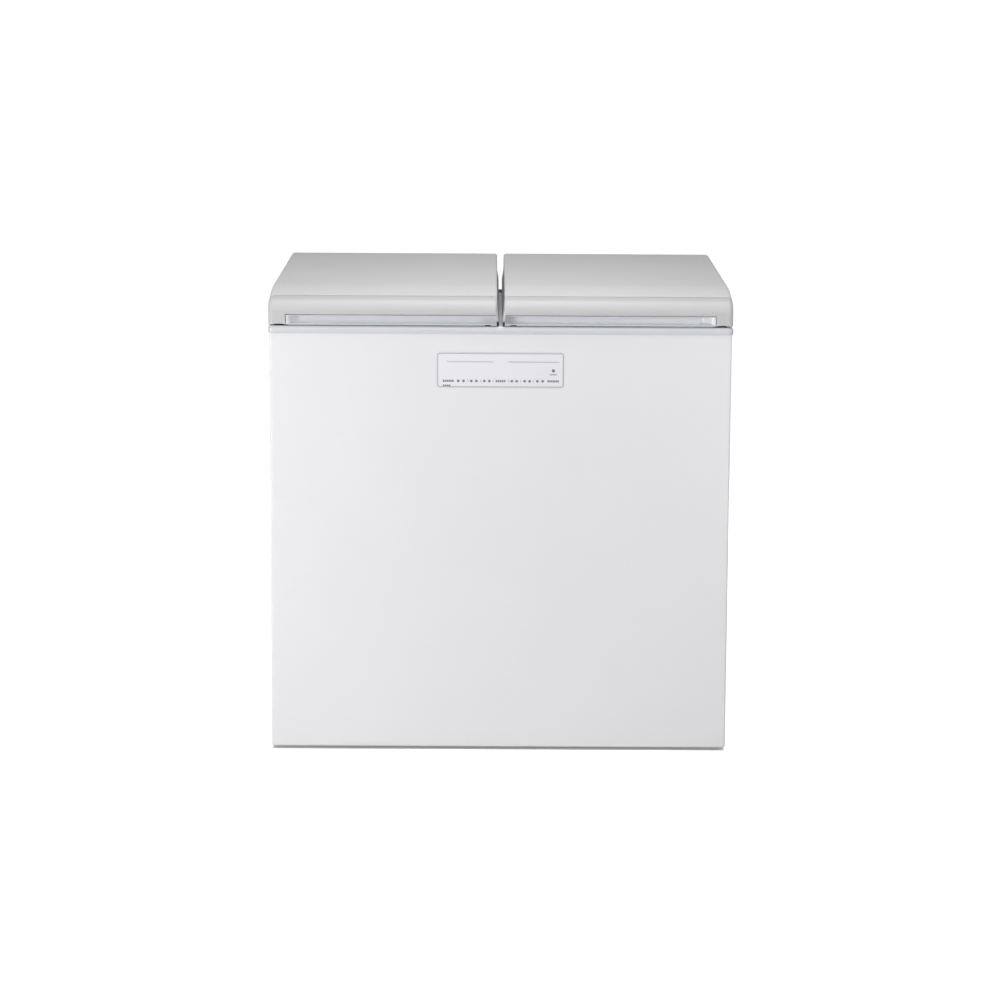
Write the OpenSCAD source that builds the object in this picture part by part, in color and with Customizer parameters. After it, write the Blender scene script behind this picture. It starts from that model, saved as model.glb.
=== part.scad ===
// Chest-type kimchi refrigerator: a two-compartment cabinet under two rear-hinged lids.
// Frame: +X to the user's right, +Y to the back, +Z up. The origin is on the floor, under the
// middle of the cabinet. All sizes are in millimetres.

/* [Cabinet] */
// Width of the steel body
body_w = 900; // [860:10:1000]
// Depth of the steel body, from the front panel to the rear flanges
body_d = 724; // [700:2:800]
// Height of the top edge of the steel body above the floor
body_top = 833; // [820:1:900]
// Height of the front panel's lower edge above the floor
skirt_gap = 6; // [4:1:12]
// Height of the side panels' lower edge above the floor
side_gap = 14; // [10:1:20]
// Thickness of the painted steel sheet
sheet_t = 0.8; // [0.6:0.1:1.2]
// Depth of the folded returns round the front panel
return_d = 12; // [8:1:20]
// Outer radius of the front panel's upright edges
panel_edge_r = 4; // [2:0.5:6]
// Height of the base pan's underside above the floor
pan_z = 30; // [29:1:36]
// Thickness of the base pan
pan_t = 1.5; // [1:0.1:2.5]
// Height of the base pan's upturned rim
pan_rim = 14; // [8:1:20]

/* [Top frame] */
// How far the frame stands proud of the body on every side
frame_over = 3; // [2:0.5:5]
// Height of the frame's outer band
band_h = 15; // [12:1:20]
// Thickness of the band, measured inwards from the body's face
band_in = 3; // [2:0.5:5]
// Thickness of the frame's top plate
plate_t = 4; // [3.5:0.5:6]
// Thickness of the lips that line the compartment mouths
lip_t = 3; // [2:0.5:4]
// Depth of those lips below the frame's top
lip_h = 22; // [16:1:30]
// Width of the drain channel between the lids
channel_w = 20; // [16:1:26]
// Fall of the drain channel from front to back
channel_fall = 20; // [10:1:24]
// Height of the rubber stop near the channel's rear end
channel_stop_h = 9; // [5:1:12]

/* [Compartments] */
// Insulated wall between a compartment and the cabinet's side
wall_side = 70; // [60:1:80]
// Insulated wall between the two compartments
wall_mid = 70; // [64:1:90]
// Insulated wall at the front
wall_front = 70; // [64:1:84]
// Insulated wall at the back
wall_rear = 84; // [80:1:100]
// Thickness of the aluminium tub
tub_t = 1.2; // [0.8:0.1:2]
// Corner radius inside the tub, seen from above
tub_r = 30; // [24:1:36]
// Height of the tub's deep floor above the floor of the room
tub_floor = 120; // [110:1:140]
// Height of the tub's rear step
step_floor = 280; // [270:1:300]
// Depth of the rear step, front to back
step_d = 218; // [210:1:226]

/* [Lids] */
// Overall thickness of a lid
lid_t = 65; // [62:1:72]
// Gap between the frame and a closed lid
lid_gap = 2; // [1.5:0.5:3]
// How far a lid stays inside the frame's outline
lid_inset = 1; // [0:0.5:3]
// Width of the slit between the lids, at their top
slit_top = 14; // [12:1:18]
// Width of the slit between the lids, at their underside
slit_low = 7; // [6:1:10]
// Radius of the roll at the lid's front edge
roll_r = 26; // [22:1:28]
// Radius of the gentle crown behind the front roll
crown_r = 500; // [450:10:600]
// Distance from the lid's front to where its top is level
crown_d = 142; // [130:1:160]
// Thickness of the moulded cover
cover_t = 2.5; // [2:0.25:3.5]
// Thickness of the lid's inner liner
liner_t = 2.5; // [2:0.25:3.5]
// Distance from the lid's front to the seam behind the front trim
seam_d = 36; // [34:0.5:42]
// Width of that seam
seam_w = 1.2; // [0.6:0.1:2]
// Wall thickness of the front trim
trim_t = 3; // [2.5:0.25:4]
// Height of the hand groove's mouth
groove_h = 17; // [14:1:20]
// Depth of the hand groove
groove_d = 20; // [16:1:22]
// Length of the plain end beside the hand groove
groove_end = 33; // [26:1:45]
// Length of the slanted end of the hand groove
groove_ramp = 24; // [10:1:30]
// Depth of the liner's plug below the lid's underside
plug_h = 24; // [16:1:30]
// Gap between the plug and the mouth of the tub
plug_gap = 9; // [8:0.5:12]

/* [Gasket] */
// Width of the magnetic gasket
gasket_w = 12; // [10:0.5:13]
// Height of the gasket
gasket_h = 10; // [8:0.5:12]
// Distance from the tub's wall to the gasket's middle line
gasket_out = 12; // [11:0.5:13]

/* [Hinges] */
// Distance of each hinge from the middle of its lid
hinge_off = 140; // [110:1:160]
// Radius of the hinge pin
pin_r = 4; // [3:0.5:5]
// Radius of the fixed knuckle
knuckle_r = 10; // [9:0.5:10]
// Width of the fixed knuckle
knuckle_w = 28; // [24:1:32]
// Running clearance round a pin, on the radius
run_fit = 0.05; // [0.02:0.01:0.1]
// Wire radius of the hinge's balance spring
spring_wire_r = 1; // [0.8:0.1:1.1]

/* [Control window] */
// Width of the touch control window
window_w = 248; // [220:1:280]
// Height of the touch control window
window_h = 69; // [60:1:80]
// Corner radius of the window
window_r = 6; // [4:0.5:10]
// Distance from the top of the body to the window's upper edge
window_drop = 36; // [30:1:80]
// Thickness of the window
window_t = 2.4; // [2:0.1:3]

/* [Machine room] */
// Depth of the machine room, from its cover forwards
room_d = 240; // [235:1:242]
// Height of the machine room's ceiling above the floor
room_top = 215; // [212:1:225]
// Radius of the compressor's shell
comp_r = 75; // [66:1:78]
// Height of the compressor's shell
comp_h = 150; // [130:1:155]
// Radius of the condenser fan
fan_r = 66; // [50:1:68]
// Number of fan blades
fan_blades = 5; // [3:1:7]
// Number of condenser fins
fin_n = 24; // [12:1:26]
// Spacing of the condenser fins
fin_pitch = 6; // [4:0.5:6.5]

/* [Feet and casters] */
// Radius of a levelling foot's pad
foot_r = 22; // [16:1:24]
// Height of a levelling foot's pad
foot_h = 10; // [8:1:14]
// Radius of a levelling foot's stem
stem_r = 5; // [4:0.5:6]
// Radius of a rear caster wheel
wheel_r = 13; // [10:0.5:13]
// Width of a rear caster wheel
wheel_w = 16; // [12:1:20]

/* [Containers] */
// Gap between a container and the tub's side walls
box_gap = 12; // [10:1:16]
// Wall thickness of a container
box_t = 2; // [1.5:0.25:3]
// Height of a front container without its lid
front_box_h = 260; // [200:5:300]
// Height of a rear container without its lid
rear_box_h = 220; // [150:5:260]
// Thickness of a container lid's top
box_lid_t = 3; // [2:0.5:4]
// Depth of a container lid's skirt
box_skirt = 12; // [8:1:16]

/* [Hidden] */
$fn = 64;

// General clearances
seat = 0.3;              // between pieces that rest on each other or are foamed in
slip = 0.2;              // between sheet pieces that slot together
over = 1;                // how far a cutter passes through what it cuts

// Body
body_x = body_w / 2;
body_y = body_d / 2;
frame_x = body_x + frame_over;
frame_y = body_y + frame_over;
frame_top = body_top + band_h;
pan_top = pan_z + pan_t;
skin_in = body_x - sheet_t - slip;      // inner face of a side panel, less a slip
flange_w = 14;                          // inward flanges of the side panels
rear_skin_y = body_y + slip;            // inner face of the bolted-on rear sheets
rear_skin_out = rear_skin_y + sheet_t;

// Compartments
tub_w = (body_w - 2 * wall_side - wall_mid) / 2;
tub_d = body_d - wall_front - wall_rear;
tub_x = (wall_mid + tub_w) / 2;         // middle of a tub, either side of the centre plane
tub_y = (wall_front - wall_rear) / 2;   // middle of a tub, front to back
tub_y0 = tub_y - tub_d / 2;
tub_y1 = tub_y + tub_d / 2;
deep_y1 = tub_y1 - step_d;              // back wall of the deep part
mouth_w = tub_w - 2 * lip_t;
mouth_d = tub_d - 2 * lip_t;
tub_top = frame_top - plate_t - seat;   // upper edge of the tub, under the frame's plate

// Drain channel: its floor falls from front to back
channel_y0 = -body_y + 8;
channel_z0 = frame_top - 2;
channel_z1 = channel_z0 - channel_fall;
channel_wall = 2;

// Lids: a closed lid spans these planes
lid_z = frame_top + lid_gap;
lid_top = lid_z + lid_t;
lid_y0 = -frame_y + lid_inset;
lid_x1 = frame_x - lid_inset;
lid_mid_x = (lid_x1 + slit_low / 2) / 2;
end_r = lid_t / 2;                      // the lid's back edge is round about the hinge axis
hinge_y = body_y - end_r;
hinge_z = lid_z + end_r;
seam_y = lid_y0 + seam_d;
crown_y = lid_y0 + crown_d;
crown_cz = lid_top - crown_r;
// The roll is an arc inside the crown's arc, and touches it and the front face
roll_y = lid_y0 + roll_r;
roll_cz = crown_cz + sqrt(pow(crown_r - roll_r, 2) - pow(crown_y - roll_y, 2));
roll_a = atan2(roll_cz - crown_cz, roll_y - crown_y);
side_edge_r = 9;                        // rounding along the lid's outer top edge
slit_edge_r = 5;                        // rounding along the slit
slit_z0 = lid_z + 10;                    // the slit widens between these heights
slit_z1 = lid_z + 28;
groove_z = lid_z + trim_t;
groove_x0 = slit_low / 2 + 4;
groove_x1 = lid_x1 - groove_end;
groove_y = lid_y0 + groove_d;

// Plug, gasket and their groove in the liner
plug_w = mouth_w - 2 * plug_gap;
plug_d = mouth_d - 2 * plug_gap;
plug_r = tub_r - lip_t - plug_gap;
plug_z = lid_z - plug_h;
gasket_path_w = tub_w + 2 * gasket_out;
gasket_path_d = tub_d + 2 * gasket_out;
gasket_path_r = tub_r + gasket_out;
gasket_z = frame_top + seat;
pocket_w = gasket_w + 1;                // groove for the gasket
pocket_top = gasket_z + gasket_h + seat;

// Hinges
hinge_screw_len = 7;
hinge_xs = [lid_mid_x - hinge_off, lid_mid_x + hinge_off];
web_t = 10;                             // fixed upright under the knuckle
web_back = 1;                           // the upright's back face, behind the axis
foot_plate_t = 2.5;                     // fixed foot, let into the frame
foot_plate_d = 36;
foot_plate_y0 = hinge_y + web_back - foot_plate_d;
foot_plate_w = 44;
ear_t = 4;                              // moving ears beside the knuckle
ear_r = 9;
ear_gap = 0.4;
ear_x = knuckle_w / 2 + ear_gap;
leaf_t = 3;
leaf_half = 12;                         // half the leaf's depth, front to back
leaf_z = hinge_z + knuckle_r + 1.2;     // moving leaf, over the knuckle
notch_w = 2 * (ear_x + ear_t + 9);      // opening in the liner round each hinge
notch_y0 = hinge_y - web_t - 6;
notch_top = leaf_z + leaf_t + seat;
notch_wall = 2;
pin_len = notch_w - 4;

// Control parts, behind the front panel
window_z = body_top - window_drop - window_h / 2;
housing_w = window_w + 14;
housing_h = window_h + 14;
housing_d = 24;
housing_t = 2;
panel_in_y = -body_y + sheet_t;
window_proud = 0.4;
board_t = 1.6;

// Machine room
room_y0 = body_y - room_d;
comp_x = -body_x + 210;                // the chain of parts starts at the left end
comp_y = room_y0 + room_d / 2;
mount_h = 16;
mount_r = 12;
mount_dx = 82;
mount_dy = 52;
stud_r = 3.4;
foot_steel_t = 2.5;
comp_z = pan_top + mount_h + foot_steel_t;
starter_half = 30;
starter_out = 22;                       // outside the shell, and into its curve
starter_in = 14;
starter_z0 = 28;
starter_h = 50;
stub_h = 96;                            // height of the pipe stubs on the shell
stub_len = 18;
stub_gap = 30;
fan_x = comp_x + 160;
fan_y = comp_y;
fan_z = pan_top + fan_r + 12;
fan_tip_gap = 4;
shroud_d = 30;
motor_r = 28;
motor_len = 40;
shaft_r = 2.5;
cond_x = fan_x + 120;                   // middle of the condenser
cond_tube_r = 3.5;
cond_rows = 2;
cond_levels = 6;
cond_dx = 26;
cond_dz = 26;
cond_z0 = pan_top + 22;
cond_fin_d = (fin_n - 1) * fin_pitch;
fin_t = 0.5;
fin_fit = 0.1;
cond_y0 = comp_y - cond_fin_d / 2 - 10; // ends of the tube's straights
cond_y1 = comp_y + cond_fin_d / 2 + 10;
pipe_r = 3;
liquid_r = 2;
capillary_r = 1.2;
drier_x = cond_x + 78;
drier_r = 10;
drier_len = 84;
drier_z = pan_top + 40;
valve_x = drier_x + 42;
valve_z = pan_top + 56;
valve_h = 40;
valve_half = 15;
power_x = body_x - 105;
power_half_w = 60;
power_half_d = 80;
power_h = 126;
power_wall = 2.5;
wire_slot_half = 20;                    // slot for the wires, in the case's inner wall
wire_slot_z0 = 40;
wire_slot_z1 = 70;
board_post_h = 6;
board_post_r = 3.5;
big_can_r = 14;                         // largest parts on the power board
big_can_h = 42;

// Evaporator
evap_r = 4;
evap_n = 6;
evap_z0 = step_floor + 50;
evap_dz = (tub_top - 70 - evap_z0) / (evap_n - 1);
evap_off = tub_t + evap_r + seat;       // tube's middle line, outside the tub's inner face
evap_y = tub_y1 + evap_off;             // the riser stands behind the tub
riser_r = 3;
evap_foot_z = room_top - 6;
header_z = room_top - 12;

// Feet and casters
foot_x = body_x - 60;
foot_y = -body_y + 52;
stem_len = 34;
boss_r = 10;
boss_h = 14;
caster_x = body_x - 65;
caster_y = body_y - 57;
axle_r = 2.5;
caster_ear_t = 2;
caster_plate_t = 1.6;
caster_plate_half = 20;                 // half the plate's length, front to back
caster_ear_half = 9;
caster_ear_r = 6;
caster_gap = 0.6;

// Rear sheets and their screws
rear_split = room_top + 1;              // back panel above, machine cover below
screw_r = 2;
screw_head_r = 4;
screw_head_h = 1.8;
screw_len = 9;
screw_hole = 0.2;
back_screw_x = body_x - flange_w / 2 - 1;
back_screw_zs = [rear_split + 20, rear_split + 300, body_top - 25];
cover_screw_zs = [pan_z + 30, rear_split - 25];
gland_x = -body_x + 70;
gland_z = 70;
gland_bore = 4.5;
gland_r = 9;

// Containers
box_w = tub_w - 2 * box_gap;
box_r = 26;
front_box_d = (deep_y1 - tub_y0) - 2 * box_gap;
front_box_y = (deep_y1 + tub_y0) / 2;
rear_box_d = step_d - 2 * box_gap + 2;
rear_box_y = tub_y1 - step_d / 2;
box_rim = 4;
box_lid_fit = 0.4;

// Points on an arc of radius r about [cx, cy], from angle a0 to a1
function arc(cx, cy, r, a0, a1, n) =
    [for (i = [0:n]) let (a = a0 + (a1 - a0) * i / n) [cx + r * cos(a), cy + r * sin(a)]];

// A rectangle with rounded corners, about the origin
module rrect(w, d, r) {
    square([w - 2 * r, d], center = true);
    square([w, d - 2 * r], center = true);
    for (sx = [-1, 1], sy = [-1, 1])
        translate([sx * (w / 2 - r), sy * (d / 2 - r)]) circle(r);
}

// A box between two corners
module span(lo, hi) {
    translate(lo) cube(hi - lo);
}

// Carries an outline round a rounded rectangle. In the outline, x is outwards and y is up
module ring_sweep(w, d, r) {
    for (k = [0:3]) {
        reach = k % 2 == 0 ? w : d;
        run = k % 2 == 0 ? d : w;
        rotate([0, 0, 90 * k]) {
            translate([reach / 2, run / 2 - r, 0])
                rotate([90, 0, 0]) linear_extrude(run - 2 * r) children();
            translate([reach / 2 - r, run / 2 - r, 0])
                rotate_extrude(angle = 90) translate([r, 0]) children();
        }
    }
}

// A bent round pipe through the points
module pipe(points, r) {
    for (i = [0:len(points) - 2]) {
        step = points[i + 1] - points[i];
        length = norm(step);
        translate(points[i])
            rotate([0, acos(step[2] / length), atan2(step[1], step[0])])
                cylinder(h = length, r = r);
        if (i > 0) translate(points[i]) sphere(r);
    }
}

// A cylinder along X, from x0 to x1
module bar_x(x0, x1, r) {
    translate([x0, 0, 0]) rotate([0, 90, 0]) cylinder(h = x1 - x0, r = r);
}

// A cylinder along Y, from y0 to y1
module bar_y(y0, y1, r) {
    translate([0, y0, 0]) rotate([-90, 0, 0]) cylinder(h = y1 - y0, r = r);
}

// Extrudes a YZ outline along X, from x0 to x1
module along_x(x0, x1) {
    translate([x0, 0, 0]) rotate([90, 0, 90]) linear_extrude(x1 - x0) children();
}

// ---------------------------------------------------------------- cabinet shell

// The front sheet seen from above, inset by g, from its face to a depth behind it
module front_outline(g, depth) {
    translate([0, (panel_edge_r + depth) / 2])
        square([body_w - 2 * g, depth - panel_edge_r], center = true);
    translate([0, (panel_edge_r + g) / 2])
        square([body_w - 2 * panel_edge_r, panel_edge_r - g], center = true);
    for (sx = [-1, 1])
        translate([sx * (body_x - panel_edge_r), panel_edge_r]) circle(panel_edge_r - g);
}

// Front sheet: a shallow tray with folded returns, and an opening for the control window
module front_panel() {
    color("white") difference() {
        translate([0, -body_y, skirt_gap]) linear_extrude(body_top - skirt_gap)
            front_outline(0, return_d);
        translate([0, -body_y, skirt_gap + sheet_t])
            linear_extrude(body_top - skirt_gap - 2 * sheet_t)
                front_outline(sheet_t, return_d + over);
        translate([0, panel_in_y + over, window_z]) rotate([90, 0, 0])
            linear_extrude(sheet_t + 2 * over)
                rrect(window_w + 2 * slip, window_h + 2 * slip, window_r + slip);
    }
}

// Side sheet with inward flanges at the front and the back
module side_panel(side) {
    x0 = body_x - sheet_t;
    y0 = -body_y + return_d + slip;
    z1 = body_top - slip;
    color("white") mirror([side < 0 ? 1 : 0, 0, 0]) difference() {
        union() {
            span([x0, y0, side_gap], [body_x, body_y, z1]);
            span([body_x - flange_w, y0, side_gap], [x0 + over / 2, y0 + sheet_t, z1]);
            span([body_x - flange_w, body_y - sheet_t, side_gap], [x0 + over / 2, body_y, z1]);
        }
        rear_screw_bores(screw_r + screw_hole);
    }
}

// Where the rear sheets' screws go, on the right side
module at_rear_screws() {
    for (z = concat(back_screw_zs, cover_screw_zs))
        translate([back_screw_x, 0, z]) children();
}

module rear_screw_bores(r) {
    at_rear_screws() bar_y(body_y - 2 * over, rear_skin_out + over, r);
}

// Upper rear sheet, with a notch where the drain channel leaves
module back_panel() {
    color("gainsboro") difference() {
        span([-body_x + 2, rear_skin_y, rear_split + slip],
             [body_x - 2, rear_skin_out, body_top - slip]);
        span([-channel_w / 2 - channel_wall, rear_skin_y - over, channel_z1 - channel_wall - seat],
             [channel_w / 2 + channel_wall, rear_skin_out + over, body_top]);
        for (side = [0, 1]) mirror([side, 0, 0]) rear_screw_bores(screw_r + screw_hole);
    }
}

// Lower rear cover, with air slots and the hole for the cord gland
module machine_cover() {
    slot_w = 5;
    slot_h = 70;
    slot_n = 20;
    slot_pitch = 14;
    color("gainsboro") translate([0, rear_skin_out, 0]) rotate([90, 0, 0])
        linear_extrude(sheet_t) difference() {
            translate([-body_x + 2, pan_z - 4]) square([body_w - 4, rear_split - pan_z + 4]);
            for (field = [-1, 1], i = [0:slot_n - 1])
                translate([field * 190 + (i - (slot_n - 1) / 2) * slot_pitch, fan_z])
                    square([slot_w, slot_h], center = true);
            translate([gland_x, gland_z]) circle(gland_r + screw_hole);
            for (side = [-1, 1], z = cover_screw_zs)
                translate([side * back_screw_x, z]) circle(screw_r + screw_hole);
        }
}

// Steel pan that carries the feet, the casters and the compressor
module base_pan() {
    x1 = skin_in;
    y0 = -body_y + return_d + sheet_t + 2 * slip;
    y1 = body_y - sheet_t - slip;
    color("silver") difference() {
        union() {
            span([-x1, y0, pan_z], [x1, y1, pan_top]);
            for (sx = [-1, 1])
                span([sx * x1 - pan_t * (sx + 1) / 2, y0, pan_z],
                     [sx * x1 - pan_t * (sx - 1) / 2, y1, pan_z + pan_rim]);
            span([-x1, y0, pan_z], [x1, y0 + pan_t, pan_z + pan_rim]);
            span([-x1, y1 - pan_t, pan_z], [x1, y1, pan_z + pan_rim]);
            for (sx = [-1, 1]) translate([sx * foot_x, foot_y, pan_z])
                cylinder(h = pan_t + boss_h, r = boss_r);
            at_mounts() translate([0, 0, pan_z])
                cylinder(h = pan_t + mount_h + foot_steel_t + 8, r = stud_r);
        }
        for (sx = [-1, 1]) translate([sx * foot_x, foot_y, pan_z - over])
            cylinder(h = pan_t + boss_h + 2 * over, r = stem_r + run_fit);
    }
}

// ---------------------------------------------------------------- top frame

// Outline of the frame's band: its outer face is a shallow bulge, widest a little below the middle
module band_outline() {
    bulge_r = 13;
    widest = band_h * 0.42;
    a0 = -asin(widest / bulge_r);
    a1 = asin((band_h - widest) / bulge_r);
    polygon(concat([[-frame_over - band_in, 0]], arc(-bulge_r, widest, bulge_r, a0, a1, 12),
                   [[-frame_over - band_in, band_h]]));
}

module channel_outline(depth) {
    polygon([[channel_y0 - depth, frame_top + (depth > 0 ? 0 : over)],
             [channel_y0 - depth, channel_z0 - depth],
             [body_y + (depth > 0 ? 0 : over), channel_z1 - depth],
             [body_y + (depth > 0 ? 0 : over), frame_top + (depth > 0 ? 0 : over)]]);
}

// Moulded frame: landing for both lids, lips into the tubs, and the drain channel
module top_frame() {
    color("aliceblue") difference() {
        union() {
            translate([0, 0, body_top])
                ring_sweep(2 * frame_x, 2 * frame_y, 10) band_outline();
            translate([0, 0, frame_top - plate_t]) linear_extrude(plate_t)
                square([2 * (body_x - band_in) + 2, 2 * (body_y - band_in) + 2], center = true);
            for (sx = [-1, 1]) translate([sx * tub_x, tub_y, frame_top - lip_h])
                linear_extrude(lip_h)
                    rrect(tub_w - 2 * slip, tub_d - 2 * slip, tub_r - slip);
            along_x(-channel_w / 2 - channel_wall, channel_w / 2 + channel_wall)
                channel_outline(channel_wall);
        }
        for (sx = [-1, 1]) translate([sx * tub_x, tub_y, frame_top - lip_h - over])
            linear_extrude(lip_h + 2 * over) rrect(mouth_w, mouth_d, tub_r - lip_t);
        along_x(-channel_w / 2, channel_w / 2) channel_outline(0);
        span([-channel_w / 2, body_y - over, channel_z1],
             [channel_w / 2, frame_y + over, frame_top + over]);
        at_hinges() span([-foot_plate_w / 2 - slip, foot_plate_y0 - slip, frame_top - foot_plate_t],
                         [foot_plate_w / 2 + slip, hinge_y + web_back + slip, frame_top + over]);
        at_hinge_screws() translate([0, 0, frame_top - plate_t - over])
            cylinder(h = plate_t + 2 * over, r = screw_r + screw_hole);
    }
}

// Black rubber: bumpers in the gap under the lids' front corners, and a stop at the rear of
// the drain channel with a way for the water under it
module lid_bumpers() {
    pad_h = lid_gap - seat;
    pad_y = lid_y0 + 3;
    post_h = 8;
    stop_t = 6;
    stop_y = body_y - 22;
    stop_z = channel_z0 - channel_fall * (stop_y - channel_y0) / (body_y - channel_y0);
    drain_half = 4;
    drain_h = 2.5;
    color("black") difference() {
        span([-channel_w / 2 + slip, stop_y, stop_z + seat],
             [channel_w / 2 - slip, stop_y + stop_t, stop_z + channel_stop_h]);
        span([-drain_half, stop_y - over, stop_z - over],
             [drain_half, stop_y + stop_t + over, stop_z + drain_h]);
    }
    color("black") for (sx = [0, 1]) mirror([sx, 0, 0]) {
        span([groove_x1 - 6, pad_y, frame_top], [lid_x1 - 12, pad_y + 8, frame_top + pad_h]);
        span([18, pad_y, frame_top], [32, pad_y + 8, frame_top + pad_h]);
        span([slit_low / 2 + 0.6, pad_y - 1, frame_top],
             [slit_low / 2 + 4, pad_y + 4, frame_top + post_h]);
    }
}

// ---------------------------------------------------------------- compartments

// The tub's shape, grown by g: a deep front part and a shallower part over the step
module tub_shape(g, z_top) {
    deep_d = deep_y1 - tub_y0;
    translate([0, tub_y0 + deep_d / 2, tub_floor - g]) linear_extrude(z_top - tub_floor + g)
        rrect(tub_w + 2 * g, deep_d + 2 * g, tub_r + g);
    translate([0, tub_y, step_floor - g]) linear_extrude(z_top - step_floor + g)
        rrect(tub_w + 2 * g, tub_d + 2 * g, tub_r + g);
}

// Aluminium tub, open at the top
module tub(side) {
    color("silver") translate([side * tub_x, 0, 0]) difference() {
        tub_shape(tub_t, tub_top);
        tub_shape(0, tub_top + over);
    }
}

// Cooling tube wound round a tub, with a riser up from the machine room
module evaporator(side) {
    color("orange") translate([side * tub_x, 0, 0]) {
        for (i = [0:evap_n - 1]) translate([0, tub_y, evap_z0 + i * evap_dz])
            ring_sweep(tub_w + 2 * evap_off, tub_d + 2 * evap_off, tub_r + evap_off)
                circle(evap_r);
        translate([0, evap_y, evap_foot_z])
            cylinder(h = evap_z0 + (evap_n - 1) * evap_dz - evap_foot_z, r = riser_r);
    }
}

// Foamed-in insulation between the tubs and the steel skin
module foam_block() {
    foam_x = skin_in - 0.1;
    foam_y0 = -body_y + return_d + sheet_t + 2 * slip + 0.1;
    foam_y1 = body_y - sheet_t - slip;
    rim_in = pan_t + seat;
    skin_top = body_top - sheet_t - slip;
    neck_x = body_x - flange_w - slip;
    bore = screw_r + seat;
    color("khaki") difference() {
        union() {
            // between the side sheets, above the pan's rim, and down inside the rim
            span([-foam_x, foam_y0, pan_z + pan_rim + seat], [foam_x, foam_y1, skin_top]);
            span([-foam_x + rim_in, foam_y0 + rim_in, pan_top + seat],
                 [foam_x - rim_in, foam_y1 - rim_in, skin_top]);
            // inside the front sheet's returns, and the neck between the side flanges
            translate([0, -body_y, pan_z + pan_rim + seat])
                linear_extrude(skin_top - pan_z - pan_rim - seat)
                    front_outline(sheet_t + slip, return_d);
            span([-neck_x, panel_in_y + slip, pan_z + pan_rim + seat],
                 [neck_x, foam_y0 + over, skin_top]);
            // up under the frame's top plate
            span([-neck_x, foam_y0 + over, skin_top - over],
                 [neck_x, body_y - band_in - 2, body_top + over]);
            span([-body_x + band_in + 2, -body_y + band_in + 2, body_top + seat],
                 [body_x - band_in - 2, body_y - band_in - 2, frame_top - plate_t - seat]);
        }
        for (sx = [-1, 1]) translate([sx * tub_x, 0, 0]) {
            tub_shape(tub_t + seat, frame_top);
            for (i = [0:evap_n - 1])
                translate([0, tub_y, evap_z0 + i * evap_dz - evap_r - seat])
                    linear_extrude(2 * (evap_r + seat))
                        rrect(tub_w + 2 * (evap_off + evap_r + seat),
                              tub_d + 2 * (evap_off + evap_r + seat),
                              tub_r + evap_off + evap_r + seat);
            span([-riser_r - seat, tub_y1, room_top - over],
                 [riser_r + seat, evap_y + riser_r + seat, evap_z0 + (evap_n - 1) * evap_dz + seat]);
        }
        span([-body_x, room_y0, 0], [body_x, body_y + over, room_top]);
        along_x(-channel_w / 2 - channel_wall - seat, channel_w / 2 + channel_wall + seat)
            polygon([[channel_y0 - channel_wall - seat, frame_top],
                     [channel_y0 - channel_wall - seat, channel_z0 - channel_wall - seat],
                     [body_y, channel_z1 - channel_wall - seat],
                     [body_y, frame_top]]);
        span([-housing_w / 2 - seat, panel_in_y, window_z - housing_h / 2 - seat],
             [housing_w / 2 + seat, panel_in_y + housing_d + seat, window_z + housing_h / 2 + seat]);
        for (sx = [-1, 1]) translate([sx * foot_x, foot_y, 0])
            cylinder(h = foot_h + stem_len + 2, r = boss_r + seat);
        for (side = [0, 1]) mirror([side, 0, 0]) at_rear_screws()
            bar_y(body_y - screw_len - over, body_y + over, bore);
        at_hinge_screws() translate([0, 0, frame_top - screw_head_h - hinge_screw_len - over])
            cylinder(h = hinge_screw_len, r = bore);
    }
}

// ---------------------------------------------------------------- machine room

module at_mounts() {
    for (sx = [-1, 1], sy = [-1, 1])
        translate([comp_x + sx * mount_dx, comp_y + sy * mount_dy, 0]) children();
}

// Sealed compressor with its steel feet and pipe stubs
module compressor() {
    dome = 40;
    color("dimgray") difference() {
        union() {
            translate([comp_x, comp_y, comp_z]) rotate_extrude()
                polygon(concat([[0, 0]],
                    arc(comp_r - dome, dome, dome, -90, 0, 12),
                    [[comp_r, comp_h * 0.52], [comp_r + 4, comp_h * 0.52],
                     [comp_r + 4, comp_h * 0.55], [comp_r - 1, comp_h * 0.55]],
                    arc(comp_r - 1 - dome, comp_h - dome, dome, 0, 90, 12),
                    [[0, comp_h]]));
            translate([comp_x - mount_dx - 14, comp_y - mount_dy - 14, comp_z - foot_steel_t])
                cube([2 * mount_dx + 28, 2 * mount_dy + 28, foot_steel_t]);
            translate([comp_x, comp_y, comp_z + stub_h])
                bar_x(comp_r - 10, comp_r + stub_len, pipe_r + 1);
            translate([comp_x, comp_y + stub_gap, comp_z + stub_h])
                bar_x(comp_r - 25, comp_r + stub_len, pipe_r + 2);
        }
        at_mounts() cylinder(h = comp_z + over, r = stud_r + seat);
    }
}

// Rubber grommets under the compressor
module compressor_mounts() {
    color("black") at_mounts() translate([0, 0, pan_top]) difference() {
        cylinder(h = mount_h, r = mount_r);
        translate([0, 0, -over]) cylinder(h = mount_h + 2 * over, r = stud_r + seat);
    }
}

// Starter and overload protector on the compressor's side
module starter_box() {
    color("black") translate([comp_x, comp_y, comp_z]) difference() {
        span([-starter_half, -comp_r - starter_out, starter_z0],
             [starter_half, -comp_r + starter_in, starter_z0 + starter_h]);
        cylinder(h = comp_h, r = comp_r + seat);
    }
}

function cond_point(row, level) =
    [cond_x + (row - (cond_rows - 1) / 2) * cond_dx, cond_z0 + level * cond_dz];

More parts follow.
